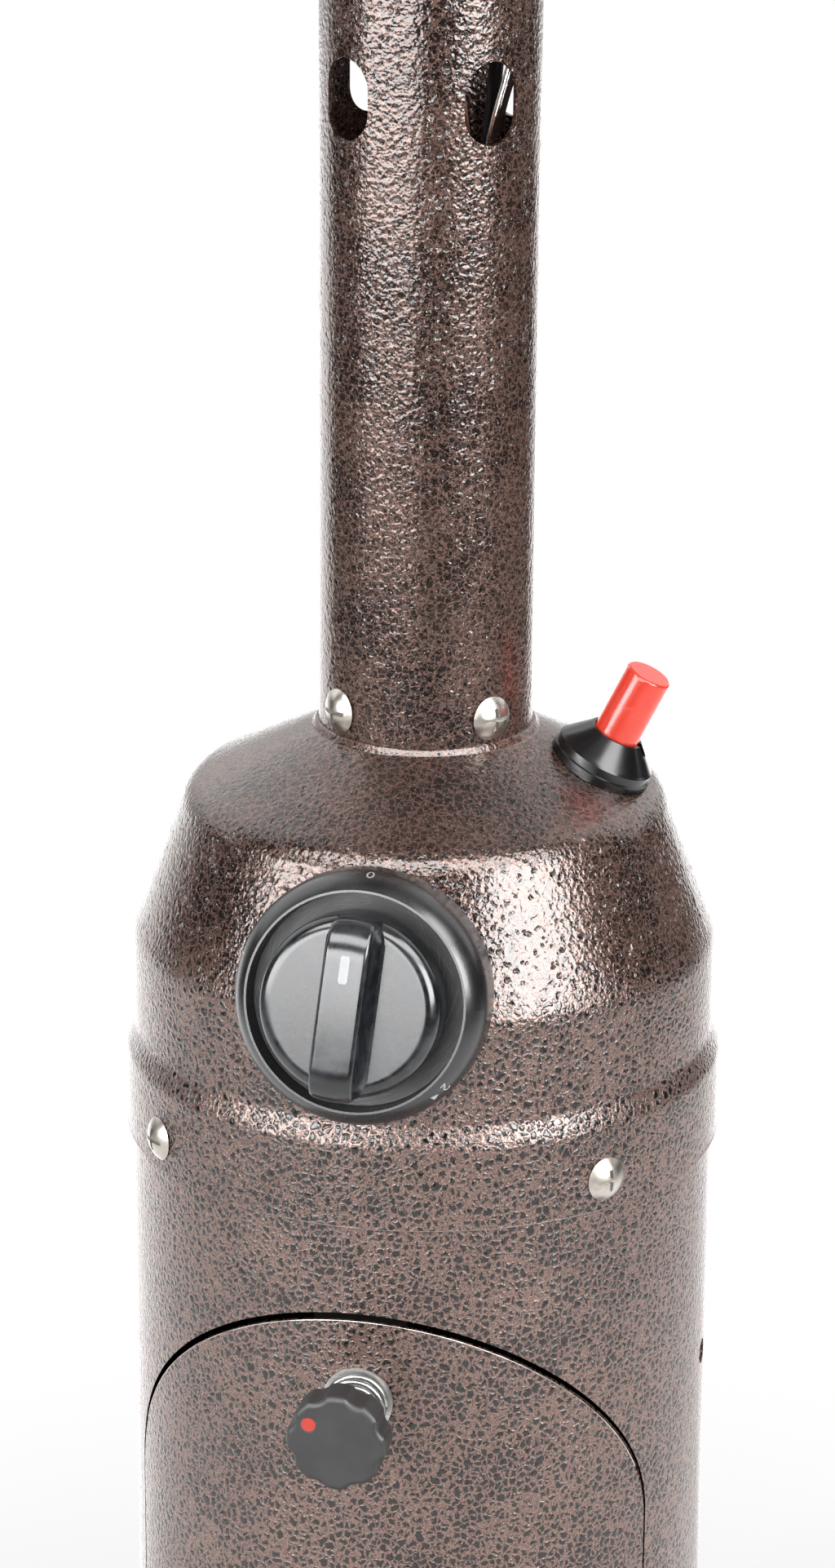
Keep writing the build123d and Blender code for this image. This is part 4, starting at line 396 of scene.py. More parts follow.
@dataclass(frozen=True)
class HammeredPaint(Finish):
    """Glossy hammer-finish enamel: dark puddles, copper veins and a rippled skin."""

    puddle: Colour = (0.02, 0.012, 0.01)
    vein: Colour = (0.3, 0.172, 0.135)
    # lighter, paler vein colour low on the heater: partly painted bounce light from the floor
    ground: Colour = (0.41, 0.255, 0.21)
    cell: float = 2.1 * MM
    pitting: float = 0.34
    ripple: float = 0.12
    swell_heights: tuple[float, float] = (0.298, 0.282)
    low_pit_heights: tuple[float, float] = (0.332, 0.324)
    high_pit_heights: tuple[float, float] = (0.39, 0.48)
    fewest_pits: float = 0.3
    dust: Colour = (0.5, 0.47, 0.44)
    dust_share: float = 0.05

    def surface(self, wiring: Wiring) -> Surface:
        """Grain with beads low on the heater and pits higher up, and a little dust; low down the veins are
        lighter, partly as painted floor bounce.

        Args:
            wiring: the material's tree.

        Returns:
            What goes into the shader's sockets, by name.
        """
        level = wiring.height(wiring.place())
        swell = wiring.ease(level, *self.swell_heights)
        pitted = wiring.most(wiring.ease(level, *self.high_pit_heights, self.fewest_pits, 1.0),
                             wiring.ease(level, *self.low_pit_heights))
        grain = EFFECTS.hammered_grain.use(
            wiring, Cell_Size=self.cell, Puddle=rgba(self.puddle), Swell=swell, Ripple=self.ripple,
            # low down the veins take the lighter ground colour, partly painted floor bounce
            Vein=wiring.mix(swell, rgba(self.vein), rgba(self.ground)),
            Pitting=wiring.times(pitted, self.pitting),
        )
        haze = wiring.times(EFFECTS.settled_dust.use(wiring)["Mask"], self.dust_share)
        return {
            "Base Color": wiring.mix(haze, grain["Colour"], rgba(self.dust)),
            "Metallic": grain["Metal"],
            "Roughness": grain["Roughness"],
            "Normal": wiring.bump(grain["Height"], self.cell),
            "Specular IOR Level": 0.6,
        }


@dataclass(frozen=True)
class Plastic(Finish):
    """Moulded plastic with a fine skin, rubbed edges and, on a turned face, circular scratches."""

    colour: Colour = (0.02, 0.02, 0.021)
    worn: Colour = (0.11, 0.11, 0.112)
    roughness: float = 0.3
    grain: float = 0.35 * MM
    grain_depth: float = 0.012 * MM
    wear: float = 0.5
    wear_width: float = 0.7 * MM
    specular: float = 0.6
    smudge: float = 0.14
    smudge_film_and_sheen: float = 0.0
    mark_size: float = 9.0 * MM
    swirl_centre: Point | None = None
    swirl_axis: Point = UP
    swirl_reach: float = 28.0 * MM
    swirl_paleness: float = 0.12
    swirl_dullness: float = 0.33
    scratch: Colour = (0.4, 0.41, 0.42)
    scratch_share: float = 0.6
    scratch_shifts: tuple[Point, ...] = ((7 * MM, 0.0, 4 * MM), (-5 * MM, 0.0, 9 * MM), (0.0, 0.0, -6 * MM))

    def surface(self, wiring: Wiring) -> Surface:
        """Skin with rubbed edges, smudges and the scratches of a turned face.

        Args:
            wiring: the material's tree.

        Returns:
            What goes into the shader's sockets, by name.
        """
        marks = EFFECTS.handling_marks.use(wiring, Size=self.mark_size)
        edges = EFFECTS.edge_wear.use(wiring, Width=self.wear_width, Break_Size=3.0 * MM)["Mask"]
        colour = wiring.mix(wiring.times(edges, self.wear), rgba(self.colour), rgba(self.worn))
        # smudges tinted towards the worn colour; on the knob this tint is partly a painted cool reflection
        colour = wiring.mix(wiring.times(marks["Smudge"], self.smudge_film_and_sheen), colour, rgba(self.worn))
        smears = wiring.times(marks["Smudge"], self.smudge)
        roughness = wiring.plus(self.roughness - 0.35 * self.smudge, smears)
        normal = wiring.bump(wiring.noise(wiring.place(), 1.0 / self.grain, 2.0, 0.6), self.grain_depth)
        if self.swirl_centre is not None:
            rings = self.rings(wiring, (0.0, 0.0, 0.0), 0.45 * MM)
            inside = wiring.ease(rings["Radius"], self.swirl_reach, self.swirl_reach - 0.3 * MM)
            colour = wiring.mix(wiring.times(inside, self.swirl_paleness), colour, rgba(self.worn))
            colour = wiring.mix(self.swirls(wiring, inside), colour, rgba(self.scratch))
            roughness = wiring.plus(roughness, wiring.times(inside, self.swirl_dullness))
            normal = wiring.bump(rings["Height"], 0.006 * MM, Normal=normal)
        return {
            "Base Color": colour, "Roughness": roughness, "Normal": normal,
            "Specular IOR Level": self.specular,
        }

    def rings(self, wiring: Wiring, shift: Point, spacing: float) -> dict[str, Socket]:
        """Fine rings round the turned face's axis.

        Args:
            wiring: the material's tree.
            shift: how far the rings' middle lies from the axis.
            spacing: distance between rings.

        Returns:
            Outputs of the rings, by name.
        """
        centre = tuple(a + b for a, b in zip(self.swirl_centre, shift))
        return EFFECTS.turned_lines.use(wiring, Centre=centre, Axis=self.swirl_axis, Spacing=spacing)

    def swirls(self, wiring: Wiring, inside: object) -> Socket:
        """Long arcs that a turning part has scratched into a face, off the centre.

        Args:
            wiring: the material's tree.
            inside: mask of the face.

        Returns:
            Mask of the scratches.
        """
        lines = []
        for shift in self.scratch_shifts:
            lines.append(wiring.ease(self.rings(wiring, shift, 0.28 * MM)["Height"], 0.58, 0.68))
        scratch = wiring.most(wiring.most(lines[0], lines[1]), lines[2])
        patch = wiring.ease(wiring.noise(wiring.place(), 150.0), 0.36, 0.6)
        return wiring.times(wiring.times(scratch, patch), wiring.times(inside, self.scratch_share))


@dataclass(frozen=True)
class Metal(Finish):
    """Bare or plated metal with its working marks, tarnish and rubbed edges."""

    colour: Colour = (0.6, 0.6, 0.6)
    tarnish: Colour = (0.3, 0.29, 0.27)
    tarnish_share: float = 0.35
    roughness: float = 0.25
    turned: float | None = None
    turned_share: float = 0.22
    turned_depth: float = 0.01 * MM
    cast: float | None = None
    cast_depth: float = 0.08 * MM
    heat: tuple[float, float] | None = None
    heat_bands: tuple[tuple[float, Colour], ...] = (
        (0.0, (0.38, 0.36, 0.33)), (0.25, (0.36, 0.28, 0.17)), (0.45, (0.25, 0.15, 0.12)),
        (0.62, (0.13, 0.13, 0.22)), (0.82, (0.26, 0.22, 0.2)), (1.0, (0.34, 0.32, 0.29)),
    )
    mark_size: float = 11.0 * MM
    mark_dullness: float = 0.12

    def surface(self, wiring: Wiring) -> Surface:
        """Metal with its working marks, tarnish and heat colours.

        Args:
            wiring: the material's tree.

        Returns:
            What goes into the shader's sockets, by name.
        """
        marks = EFFECTS.handling_marks.use(wiring, Size=self.mark_size)
        stain = wiring.times(marks["Smudge"], self.tarnish_share)
        colour = wiring.mix(stain, rgba(self.colour), rgba(self.tarnish))
        roughness = wiring.plus(self.roughness - 0.04, wiring.times(marks["Smudge"], self.mark_dullness))
        roughness = wiring.plus(roughness, wiring.times(marks["Scratch"], self.mark_dullness), clamp=True)
        normal = wiring.bump(marks["Scratch"], 0.006 * MM)
        if self.turned:
            rings = EFFECTS.turned_lines.use(wiring, Spacing=self.turned)
            colour = wiring.mix(wiring.times(rings["Tone"], self.turned_share), colour, rgba(self.tarnish))
            normal = wiring.bump(rings["Height"], self.turned_depth, Normal=normal)
        if self.cast:
            pits = wiring.noise(wiring.place(), 1.0 / self.cast, 4.0, 0.65)
            normal = wiring.bump(pits, self.cast_depth, Normal=normal)
        if self.heat:
            colour = self.heat_colours(wiring, colour)
        return {"Base Color": colour, "Metallic": 1.0, "Roughness": roughness, "Normal": normal}

    def heat_colours(self, wiring: Wiring, colour: object) -> Socket:
        """Straw, brown and blue bands where the flame has heated the metal.

        Args:
            wiring: the material's tree.
            colour: the clean metal's colour.

        Returns:
            The tinted colour.
        """
        place = wiring.place()
        wander = wiring.times(wiring.maths("SUBTRACT", wiring.noise(place, 38.0, 3.0), 0.5), 0.05)
        share = wiring.ease(wiring.plus(wiring.height(place), wander), *self.heat)
        ramp = wiring.add("ValToRGB", {0: share})
        stops = ramp.color_ramp.elements
        for position, _ in self.heat_bands[1:-1]:
            stops.new(position)
        for stop, (position, tint) in zip(stops, self.heat_bands):
            stop.position, stop.color = position, rgba(tint)
        return wiring.mix(0.6, colour, ramp.outputs["Color"])


@dataclass(frozen=True)
class Rubber(Finish):
    """Dull rubber or silicone with a dusty bloom."""

    colour: Colour = (0.018, 0.018, 0.019)
    bloom: Colour = (0.09, 0.088, 0.084)
    roughness: float = 0.62
    bloom_share: float = 0.3

    def surface(self, wiring: Wiring) -> Surface:
        """Rubber with its bloom and fine skin.

        Args:
            wiring: the material's tree.

        Returns:
            What goes into the shader's sockets, by name.
        """
        marks = EFFECTS.handling_marks.use(wiring, Size=8.0 * MM)
        dust = EFFECTS.settled_dust.use(wiring)["Mask"]
        pale = wiring.plus(wiring.times(marks["Smudge"], self.bloom_share),
                           wiring.times(dust, self.bloom_share), clamp=True)
        return {
            "Base Color": wiring.mix(pale, rgba(self.colour), rgba(self.bloom)),
            "Roughness": wiring.plus(self.roughness, wiring.times(marks["Smudge"], 0.15)),
            "Normal": wiring.bump(wiring.noise(wiring.place(), 2600.0, 3.0), 0.02 * MM),
        }


@dataclass(frozen=True)
class Glaze(Finish):
    """Smooth hard colour: glazed ceramic, printed ink or a glossy push button."""

    colour: Colour = (0.8, 0.78, 0.72)
    shade: Colour = (0.6, 0.57, 0.5)
    roughness: float = 0.2
    coat: float = 0.0
    glow: float = 0.0
    painted_glow: float = 0.0
    glow_reach: Point = (4.0 * MM, 0.9 * MM, 0.6 * MM)

    def surface(self, wiring: Wiring) -> Surface:
        """Uneven colour under a soft ripple; where the stuff lets light through it scatters light inside, and
        it carries a painted glow.

        Args:
            wiring: the material's tree.

        Returns:
            What goes into the shader's sockets, by name.
        """
        marks = EFFECTS.handling_marks.use(wiring, Size=10.0 * MM)
        colour = wiring.mix(wiring.times(marks["Smudge"], 0.45), rgba(self.colour), rgba(self.shade))
        surface = {
            "Base Color": colour,
            "Roughness": wiring.plus(self.roughness, wiring.times(marks["Scratch"], 0.2)),
            "Normal": wiring.bump(wiring.noise(wiring.place(), 420.0), 0.01 * MM),
            "Coat Weight": self.coat,
        }
        # translucency, and a painted glow: emission that brightens the part though it is no lamp
        if self.glow:
            surface |= {
                "Subsurface Weight": self.glow, "Subsurface Radius": self.glow_reach, "Subsurface Scale": 1.0,
                "Emission Color": colour, "Emission Strength": self.painted_glow,
            }
        return surface


CONTROL_CENTRE = Vector((0.0, -0.076667, 0.2932))
CONTROL_TILT = math.radians(11.0)
CONTROL_OUT = Vector((0.0, -math.cos(CONTROL_TILT), math.sin(CONTROL_TILT)))
CONTROL_UP = Vector((0.0, math.sin(CONTROL_TILT), math.cos(CONTROL_TILT)))

ENAMEL = HammeredPaint("enamel")
NICKEL = Metal("nickel_plate", (0.47, 0.445, 0.41), (0.24, 0.205, 0.165), 0.5, 0.32)
ZINC = Metal("zinc_plate", (0.58, 0.58, 0.57), (0.34, 0.33, 0.31), 0.5, 0.3, cast=1.2 * MM,
             cast_depth=0.01 * MM)
SPRING_WIRE = Metal("spring_wire", (0.34, 0.34, 0.335), (0.15, 0.15, 0.155), 0.35, 0.24)
STAINLESS = Metal("stainless_sheet", (0.6, 0.59, 0.57), (0.36, 0.34, 0.31), 0.4, 0.28, turned=0.9 * MM)
HEATED = Metal("heated_stainless", (0.36, 0.34, 0.32), (0.22, 0.19, 0.165), 0.4, 0.4, heat=(0.66, 0.83))
BURNER = Metal("burner_sheet", (0.52, 0.47, 0.42), (0.25, 0.2, 0.17), 0.5, 0.38, turned=0.7 * MM,
               heat=(0.655, 0.705))
SPUN = Metal("spun_aluminium", (0.5, 0.5, 0.505), (0.4, 0.4, 0.405), 0.25, 0.38, turned=1.6 * MM,
             turned_depth=0.03 * MM, mark_size=90 * MM)
CASTING = Metal("die_casting", (0.5, 0.5, 0.51), (0.3, 0.3, 0.3), 0.45, 0.42, cast=0.7 * MM)
BRASS = Metal("machined_brass", (0.7, 0.48, 0.2), (0.38, 0.25, 0.11), 0.45, 0.24, turned=0.5 * MM)
COPPER = Metal("drawn_copper", (0.66, 0.32, 0.18), (0.3, 0.15, 0.1), 0.5, 0.28)
ALUMINIUM = Metal("aluminium_tube", (0.84, 0.84, 0.85), (0.55, 0.55, 0.56), 0.25, 0.18)
IRON = HammeredPaint("black_casting", (0.012, 0.012, 0.012), (0.03, 0.03, 0.03), (0.03, 0.03, 0.03), 2.6 * MM)
# bluish worn colour over the smudges: real handling film, and partly a painted cool reflection on the knob's
# faces
KNOB_BLACK = Plastic("knob_black", (0.012, 0.0125, 0.014), (0.13, 0.145, 0.17), 0.2, grain_depth=0.004 * MM,
                     wear=0.15, specular=0.6, smudge=0.04, smudge_film_and_sheen=0.35)
DIAL_BLACK = Plastic("dial_black", (0.014, 0.0145, 0.016), (0.1, 0.1, 0.105), 0.27, grain_depth=0.008 * MM,
                     wear=0.1, swirl_centre=tuple(CONTROL_CENTRE), swirl_axis=tuple(CONTROL_OUT),
                     specular=0.7, smudge=0.05)
GLOSS_BLACK = Plastic("gloss_black", (0.011, 0.011, 0.0115), (0.05, 0.05, 0.05), 0.2, grain_depth=0.006 * MM,
                      wear=0.15, specular=0.5, smudge=0.05)
RAW_EDGE = Metal("raw_edge", (0.78, 0.74, 0.71), (0.2, 0.14, 0.12), 0.8, 0.28)
RUBBED_EDGE = Glaze("rubbed_edge", (0.36, 0.29, 0.265), (0.16, 0.11, 0.095), 0.25)
# near-black, dull primer on the latch tab: partly painted shade that keeps the door gap dark
GAP_SHADE_PRIMER = Plastic("gap_shade_primer", (0.004, 0.0035, 0.003), (0.008, 0.006, 0.005), 0.85, wear=0.1,
                      specular=0.05, smudge=0.02)
MOULDED_BLACK = Plastic("moulded_black", (0.014, 0.014, 0.015), (0.09, 0.09, 0.09), 0.34)
STAR_GREY = Plastic("star_grey", (0.03, 0.03, 0.031), (0.2, 0.2, 0.2), 0.5, 0.5 * MM, 0.05 * MM, 0.9,
                    1.2 * MM, 0.5)
# the red push button and the red dot have a painted glow (emission), besides their translucency
RED_PUSH = Glaze("red_push", (1.0, 0.065, 0.034), (0.97, 0.1, 0.06), 0.18, 0.15, 0.4, 0.28)
RED_DOT = Glaze("red_dot", (0.9, 0.06, 0.03), (0.8, 0.05, 0.03), 0.3, glow=0.3, painted_glow=0.2)
INK = Glaze("white_ink", (0.8, 0.82, 0.84), (0.62, 0.64, 0.68), 0.35)
CERAMIC = Glaze("ceramic", (0.82, 0.79, 0.72), (0.66, 0.6, 0.5), 0.18, 0.4)
FOOT_RUBBER = Rubber("foot_rubber")
SLEEVE = Rubber("silicone_sleeve", (0.014, 0.014, 0.015), (0.05, 0.05, 0.052), 0.4)


def paint(piece: Piece, finish: Finish) -> None:
    """Gives every material slot of a piece one finish.

    Args:
        piece: the piece or frame node.
        finish: its finish.
    """
    material = finish.material()
    if not piece.material_slots:
        piece.data.materials.append(material)
    for slot in piece.material_slots:
        slot.material = material


# ---- meshes ----
WELD_GAP = 0.01 * MM
BEAD_SIDES = 8


class Sketch:
    """A mesh that is drawn face by face and then becomes a piece."""

    def __init__(self, name: str) -> None:
        """Starts an empty mesh with the piece's name."""
        self.name = name
        self.mesh = bmesh.new()

    def strip(self, rows: Sequence[Sequence[Vector]], closed: bool = False) -> None:
        """Joins rows of points with four-sided faces.

        Args:
            rows: rows with the same number of points.
            closed: whether each row's last point joins its first.
        """
        grid = [[self.mesh.verts.new(point) for point in row] for row in rows]
        for low, high in zip(grid, grid[1:]):
            count = len(low)
            for i in range(count if closed else count - 1):
                j = (i + 1) % count
                self.mesh.faces.new((low[i], low[j], high[j], high[i]))

    def face(self, points: Iterable[Vector]) -> None:
        """Adds one flat face."""
        self.mesh.faces.new([self.mesh.verts.new(point) for point in points])

    def weld(self) -> None:
        """Merges the points that lie together."""
        bmesh.ops.remove_doubles(self.mesh, verts=self.mesh.verts, dist=WELD_GAP)

    def bead(self, line: Sequence[Vector], radius: float) -> None:
        """Lays a round bead along a line that runs on a face round the heater's axis.

        Args:
            line: points of the bead's middle.
            radius: the bead's own radius.
        """
        rows = []
        for i, point in enumerate(line):
            way = (line[min(i + 1, len(line) - 1)] - line[max(i - 1, 0)]).normalized()
            side = way.cross(Vector((point.x, point.y, 0)).normalized()).normalized()
            out = side.cross(way)
            angles = [2 * math.pi * j / BEAD_SIDES for j in range(BEAD_SIDES)]
            rows.append([point + side * radius * math.cos(a) + out * radius * math.sin(a) for a in angles])
        self.strip(rows, closed=True)

    def finish(self, finish: Finish, body: Body, slot: Slot) -> Piece:
        """Turns the drawing into a piece that rides on a body.

        Args:
            finish: what it is painted or made of.
            body: the body that it moves with.
            slot: the record's material slot; not used.

        Returns:
            The piece.
        """
        bmesh.ops.recalc_face_normals(self.mesh, faces=self.mesh.faces)
        data = bpy.data.meshes.new(self.name)
        self.mesh.to_mesh(data)
        self.mesh.free()
        for polygon in data.polygons:
            polygon.use_smooth = True
        piece = bpy.data.objects.new(self.name, data)
        bpy.context.scene.collection.objects.link(piece)
        paint(piece, finish)
        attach(piece, body.value)
        return piece


def node_surface(node: str) -> BVHTree:
    """Search tree of a frame node's surface."""
    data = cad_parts[node].data
    return BVHTree.FromPolygons([v.co for v in data.vertices], [p.vertices for p in data.polygons])


def between(start: float, end: float, share: float) -> float:
    """Number at a share of the way from start to end."""
    return start + (end - start) * share


def polar(radius: float, azimuth: float, height: float) -> Vector:
    """Point at an azimuth in degrees from the front, turning towards the igniter's side."""
    angle = math.radians(azimuth)
    return Vector((radius * math.sin(angle), -radius * math.cos(angle), height))


def arc(
    centre: tuple[float, float], radius: tuple[float, float], start: float, end: float, count: int
) -> list[tuple[float, float]]:
    """Flat points on a stretch of an ellipse, angles in degrees anticlockwise from the right.

    Args:
        centre: middle of the ellipse.
        radius: its half width and half height.
        start: first angle.
        end: last angle.
        count: how many points.

    Returns:
        The points.
    """
    points = []
    for i in range(count):
        angle = math.radians(between(start, end, i / (count - 1)))
        points.append((centre[0] + radius[0] * math.cos(angle), centre[1] + radius[1] * math.sin(angle)))
    return points


# ---- sub-assemblies ----
@dataclass
class SubAssembly:
    """A group of frame nodes, each with its finish, and of added pieces."""

    finishes: ClassVar[dict[str, Finish]] = {}

    def dress(self) -> None:
        """Gives each frame node of the group its finish, and reports it."""
        for node, finish in self.finishes.items():
            paint(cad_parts[node], finish)
            LOG.info("%s: %s in %s", type(self).__name__, node, finish.name)

    def pieces(self) -> list[Piece]:
        """Makes the pieces that the frame leaves out."""
        return []

    def build(self) -> None:
        """Dresses the nodes, makes the pieces and reports both."""
        self.dress()
        for piece in self.pieces():
            LOG.info("%s: added %s, %d faces", type(self).__name__, piece.name, len(piece.data.polygons))


@dataclass
class Base(SubAssembly):
    """Round weighted base on four rubber feet."""

    finishes: ClassVar[dict[str, Finish]] = {
        "base_plate": ENAMEL, "base_weight": IRON, "rubber_feet": FOOT_RUBBER, "base_bolts": ZINC,
        "base_nuts": ZINC,
    }


@dataclass
class CylinderHousing(SubAssembly):
    """Rolled housing of the gas cylinder, with its seam."""

    radius: float = 79.1 * MM
    seam_azimuth: float = -3.3
    seam_width: float = 0.36 * MM
    seam_rise: float = 0.1 * MM
    seam_low: float = 206.4 * MM
    seam_high: float = 229.9 * MM

    # the latch tab's near-black primer is partly painted shade in the gap above the door
    finishes: ClassVar[dict[str, Finish]] = {"body_shell": ENAMEL, "latch_tab": GAP_SHADE_PRIMER}

    def pieces(self) -> list[Piece]:
        """Makes the weld bead of the rolled housing, from the door up to the dome.

        Returns:
            The piece, in a list.
        """
        seam = Sketch("housing_seam")
        steps, across = 48, 7
        half = math.degrees(self.seam_width / 2 / self.radius)
        rows = []
        for i in range(steps + 1):
            height = between(self.seam_low, self.seam_high, i / steps)
            sway = 0.18 * half * math.sin(i * 0.9)
            row = []
            for j in range(across):
                share = 2 * j / (across - 1) - 1
                rise = self.seam_rise * (1 - share ** 2) - 0.02 * MM
                row.append(polar(self.radius + rise, self.seam_azimuth + sway + share * half, height))
            rows.append(row)
        seam.strip(rows)
        return [seam.finish(RUBBED_EDGE, Body.STAND, Slot.BRONZE)]


@dataclass
class Door(SubAssembly):
    """Lift-out door with its sprung star knob and the cut edge of its arch."""

    radius: float = 79.0 * MM
    arch_radius: float = 69.82 * MM
    arch_centre: float = 133.5 * MM
    edge_radius: float = 0.15 * MM
    edge_start: float = 14.0

    finishes: ClassVar[dict[str, Finish]] = {
        "door_panel": ENAMEL, "door_knob": STAR_GREY, "door_knob_dot": RED_DOT, "latch_shaft": ZINC,
        "latch_pin": ZINC, "latch_seat_washer": ZINC, "latch_push_washer": ZINC,
        "door_knob_spring": SPRING_WIRE,
    }

    def pieces(self) -> list[Piece]:
        """Makes the bare cut edge along the top of the door.

        Returns:
            The piece, in a list.
        """
        edge = Sketch("door_edge")
        flat = arc((0.0, self.arch_centre), (self.arch_radius, self.arch_radius), self.edge_start,
                   180.0 - self.edge_start, 121)
        edge.bead([Vector((x, -math.sqrt(self.radius ** 2 - x ** 2), z)) for x, z in flat], self.edge_radius)
        return [edge.finish(RAW_EDGE, Body.DOOR, Slot.BRONZE)]


@dataclass
class ControlDome(SubAssembly):
    """Stepped dome over the valve, screwed to the housing, with its hemmed rim."""

    rim_radius: float = 80.5 * MM
    rim_height: float = 230.6 * MM
    hem_radius: float = 0.14 * MM

    finishes: ClassVar[dict[str, Finish]] = {
        "dome_housing": ENAMEL, "collar_screws": NICKEL, "collar_nuts": ZINC,
    }

    def pieces(self) -> list[Piece]:
        """Makes the rubbed hem along the rim's lower edge.

        Returns:
            The piece, in a list.
        """
        hem = Sketch("dome_hem")
        hem.bead([polar(self.rim_radius, i * 1.5, self.rim_height) for i in range(241)], self.hem_radius)
        hem.weld()
        return [hem.finish(RUBBED_EDGE, Body.STAND, Slot.BRONZE)]


@dataclass
class Pole(SubAssembly):
    """Vented pole with its screws, tubes and leads."""

    finishes: ClassVar[dict[str, Finish]] = {
        "pole": ENAMEL, "pole_screws": NICKEL, "pole_nuts": ZINC, "main_gas_tube": COPPER,
        "pilot_tube": ALUMINIUM, "thermocouple_lead": COPPER, "igniter_wire": SLEEVE,
    }


@dataclass
class Control(SubAssembly):
    """Dial ring and knob, with the marks printed on them."""

    mark_height: float = 2.7 * MM
    mark_stroke: float = 0.46 * MM
    ink_rise: float = 0.04 * MM
    flank_inner: float = 29.0 * MM
    flank_outer: float = 32.97 * MM
    knob_radius: float = 23.5 * MM
    knob_low: float = 5.5 * MM
    knob_face: float = 17.0 * MM
    knob_round: float = 3.6 * MM
    knob_turn: float = 5.0
    grip_top: float = 27.5 * MM
    grip_flat: float = 14.5 * MM
    grip_drop: float = 6.0 * MM
    grip_half: float = 5.6 * MM
    root_half: float = 8.4 * MM
    grip_round: float = 1.1 * MM
    grip_corner: float = 1.4 * MM
    grip_crown: float = 0.4 * MM
    root_sink: float = 0.4 * MM
    scoop_inset: float = 0.2 * MM
    skirt_edge: float = 0.4 * MM
    skirt_wall: float = 2.5 * MM
    pointer_corner: float = 0.4 * MM
    pointer_width: float = 2.4 * MM
    pointer_low: float = 8.0 * MM
    pointer_high: float = 15.2 * MM
    reach: float = 40.0 * MM

    finishes: ClassVar[dict[str, Finish]] = {
        "dial_ring": DIAL_BLACK, "valve_stem": BRASS, "stem_collar": ZINC, "stem_spring": SPRING_WIRE,
    }

    @staticmethod
    def at(across: float, up: float, out: float) -> Vector:
        """Point by its distances right of the control's axis, above it and out along it."""
        return CONTROL_CENTRE + Vector((across, 0, 0)) + CONTROL_UP * up + CONTROL_OUT * out

    def ribbon(self, sketch: Sketch, line: Sequence[tuple[float, float]]) -> None:
        """Adds a flat stroke of the marks' width along a line of flat points.

        Args:
            sketch: the drawing that it goes in.
            line: the stroke's middle.
        """
        left, right = [], []
        for i, (x, y) in enumerate(line):
            before, after = line[max(i - 1, 0)], line[min(i + 1, len(line) - 1)]
            way = Vector((after[0] - before[0], after[1] - before[1])).normalized()
            side = Vector((-way.y, way.x)) * self.mark_stroke / 2
            left.append(Vector((x + side.x, y + side.y, 0)))
            right.append(Vector((x - side.x, y - side.y, 0)))
        middle = [(a + b) / 2 for a, b in zip(left, right)]
        sketch.strip([left, middle, right])

    def digit(self, sketch: Sketch, value: int) -> None:
        """Draws a digit about the middle of its own height.

        Args:
            sketch: the drawing that it goes in.
            value: 0, 1 or 2.
        """
        half, width = self.mark_height / 2, self.mark_height * 0.3
        if value == 0:
            self.ribbon(sketch, arc((0, 0), (width, half), 0, 360, 33))
        elif value == 1:
            self.ribbon(sketch, [(-width * 0.9 + width * 0.3 * i, half * (0.5 + i / 6)) for i in range(4)])
            self.ribbon(sketch, [(0, between(half, -half, i / 8)) for i in range(9)])
        else:
            bowl = arc((0, half - width), (width, width), 165, -35, 14)
            end = bowl[-1]
            slope = [(between(end[0], -width, i / 7), between(end[1], -half, i / 7)) for i in range(1, 8)]
            self.ribbon(sketch, bowl + slope)
            self.ribbon(sketch, [(between(-width, width, i / 5), -half) for i in range(6)])

    def arrow(self, sketch: Sketch) -> None:
        """Draws a small solid arrow head that points along the dial.

        Args:
            sketch: the drawing that it goes in.
        """
        half = self.mark_height * 0.42
        rows = [[Vector((half - 2 * half * i / 8, (1 - i / 8) * half * j / 2, 0)) for j in (-2, -1, 0, 1, 2)]
                for i in range(8)]
        sketch.strip(rows)

    def flank(self, surface: BVHTree) -> list[tuple[float, float]]:
        """Length along the ring's flank and radius, step by step outwards from its lip.

        Args:
            surface: search tree of the dial ring.

        Returns:
            Pairs of length along the flank and radius.
        """
        steps, found, last, length = 60, [], None, 0.0
        for i in range(steps + 1):
            radius = between(self.flank_inner, self.flank_outer, i / steps)
            spot, _, _, _ = surface.ray_cast(self.at(0, radius, self.reach), -CONTROL_OUT)
            length += (spot - last).length if last else 0.0
            found.append((length, radius))
            last = spot
        return found

    def print_mark(self, marks: Sketch, surface: BVHTree, draw: Callable[[Sketch], None], clock: float,
                   middle: float) -> None:
        """Prints one flat drawing on the ring's flank, its top away from the axis.

        Args:
            marks: the sketch that it joins.
            surface: search tree of the dial ring.
            draw: makes the flat drawing.
            clock: its angle, clockwise from the top, in degrees.
            middle: how far from the lip the drawing's middle lies.
        """
        flat = Sketch("flat")
        draw(flat)
        steps = self.flank(surface)
        placed = {}
        for vert in flat.mesh.verts:
            along = middle + vert.co.y
            radius = next((r for length, r in steps if length >= along), steps[-1][1])
            angle = math.radians(clock) + vert.co.x / radius
            start = self.at(radius * math.sin(angle), radius * math.cos(angle), self.reach)
            spot, normal, _, _ = surface.ray_cast(start, -CONTROL_OUT)
            placed[vert] = spot + normal * math.copysign(self.ink_rise, normal.dot(CONTROL_OUT))
        for face in flat.mesh.faces:
            marks.face([placed[vert] for vert in face.verts])
        flat.mesh.free()

    def dial_marks(self) -> Piece:
        """Prints 0 at the top, 1 on the left, and 2 with a small arrow at the lower right.

        Returns:
            The marks, as one piece.
        """
        surface = node_surface("dial_ring")
        marks = Sketch("dial_marks")
        for draw, clock, middle in (
            (partial(self.digit, value=0), 3.0, 5.8 * MM), (partial(self.digit, value=1), -72.0, 5.0 * MM),
            (partial(self.digit, value=2), 130.0, 3.7 * MM), (self.arrow, 136.5, 3.7 * MM),
        ):
            self.print_mark(marks, surface, draw, clock, middle)
        marks.weld()
        return marks.finish(INK, Body.STAND, Slot.BLACK)

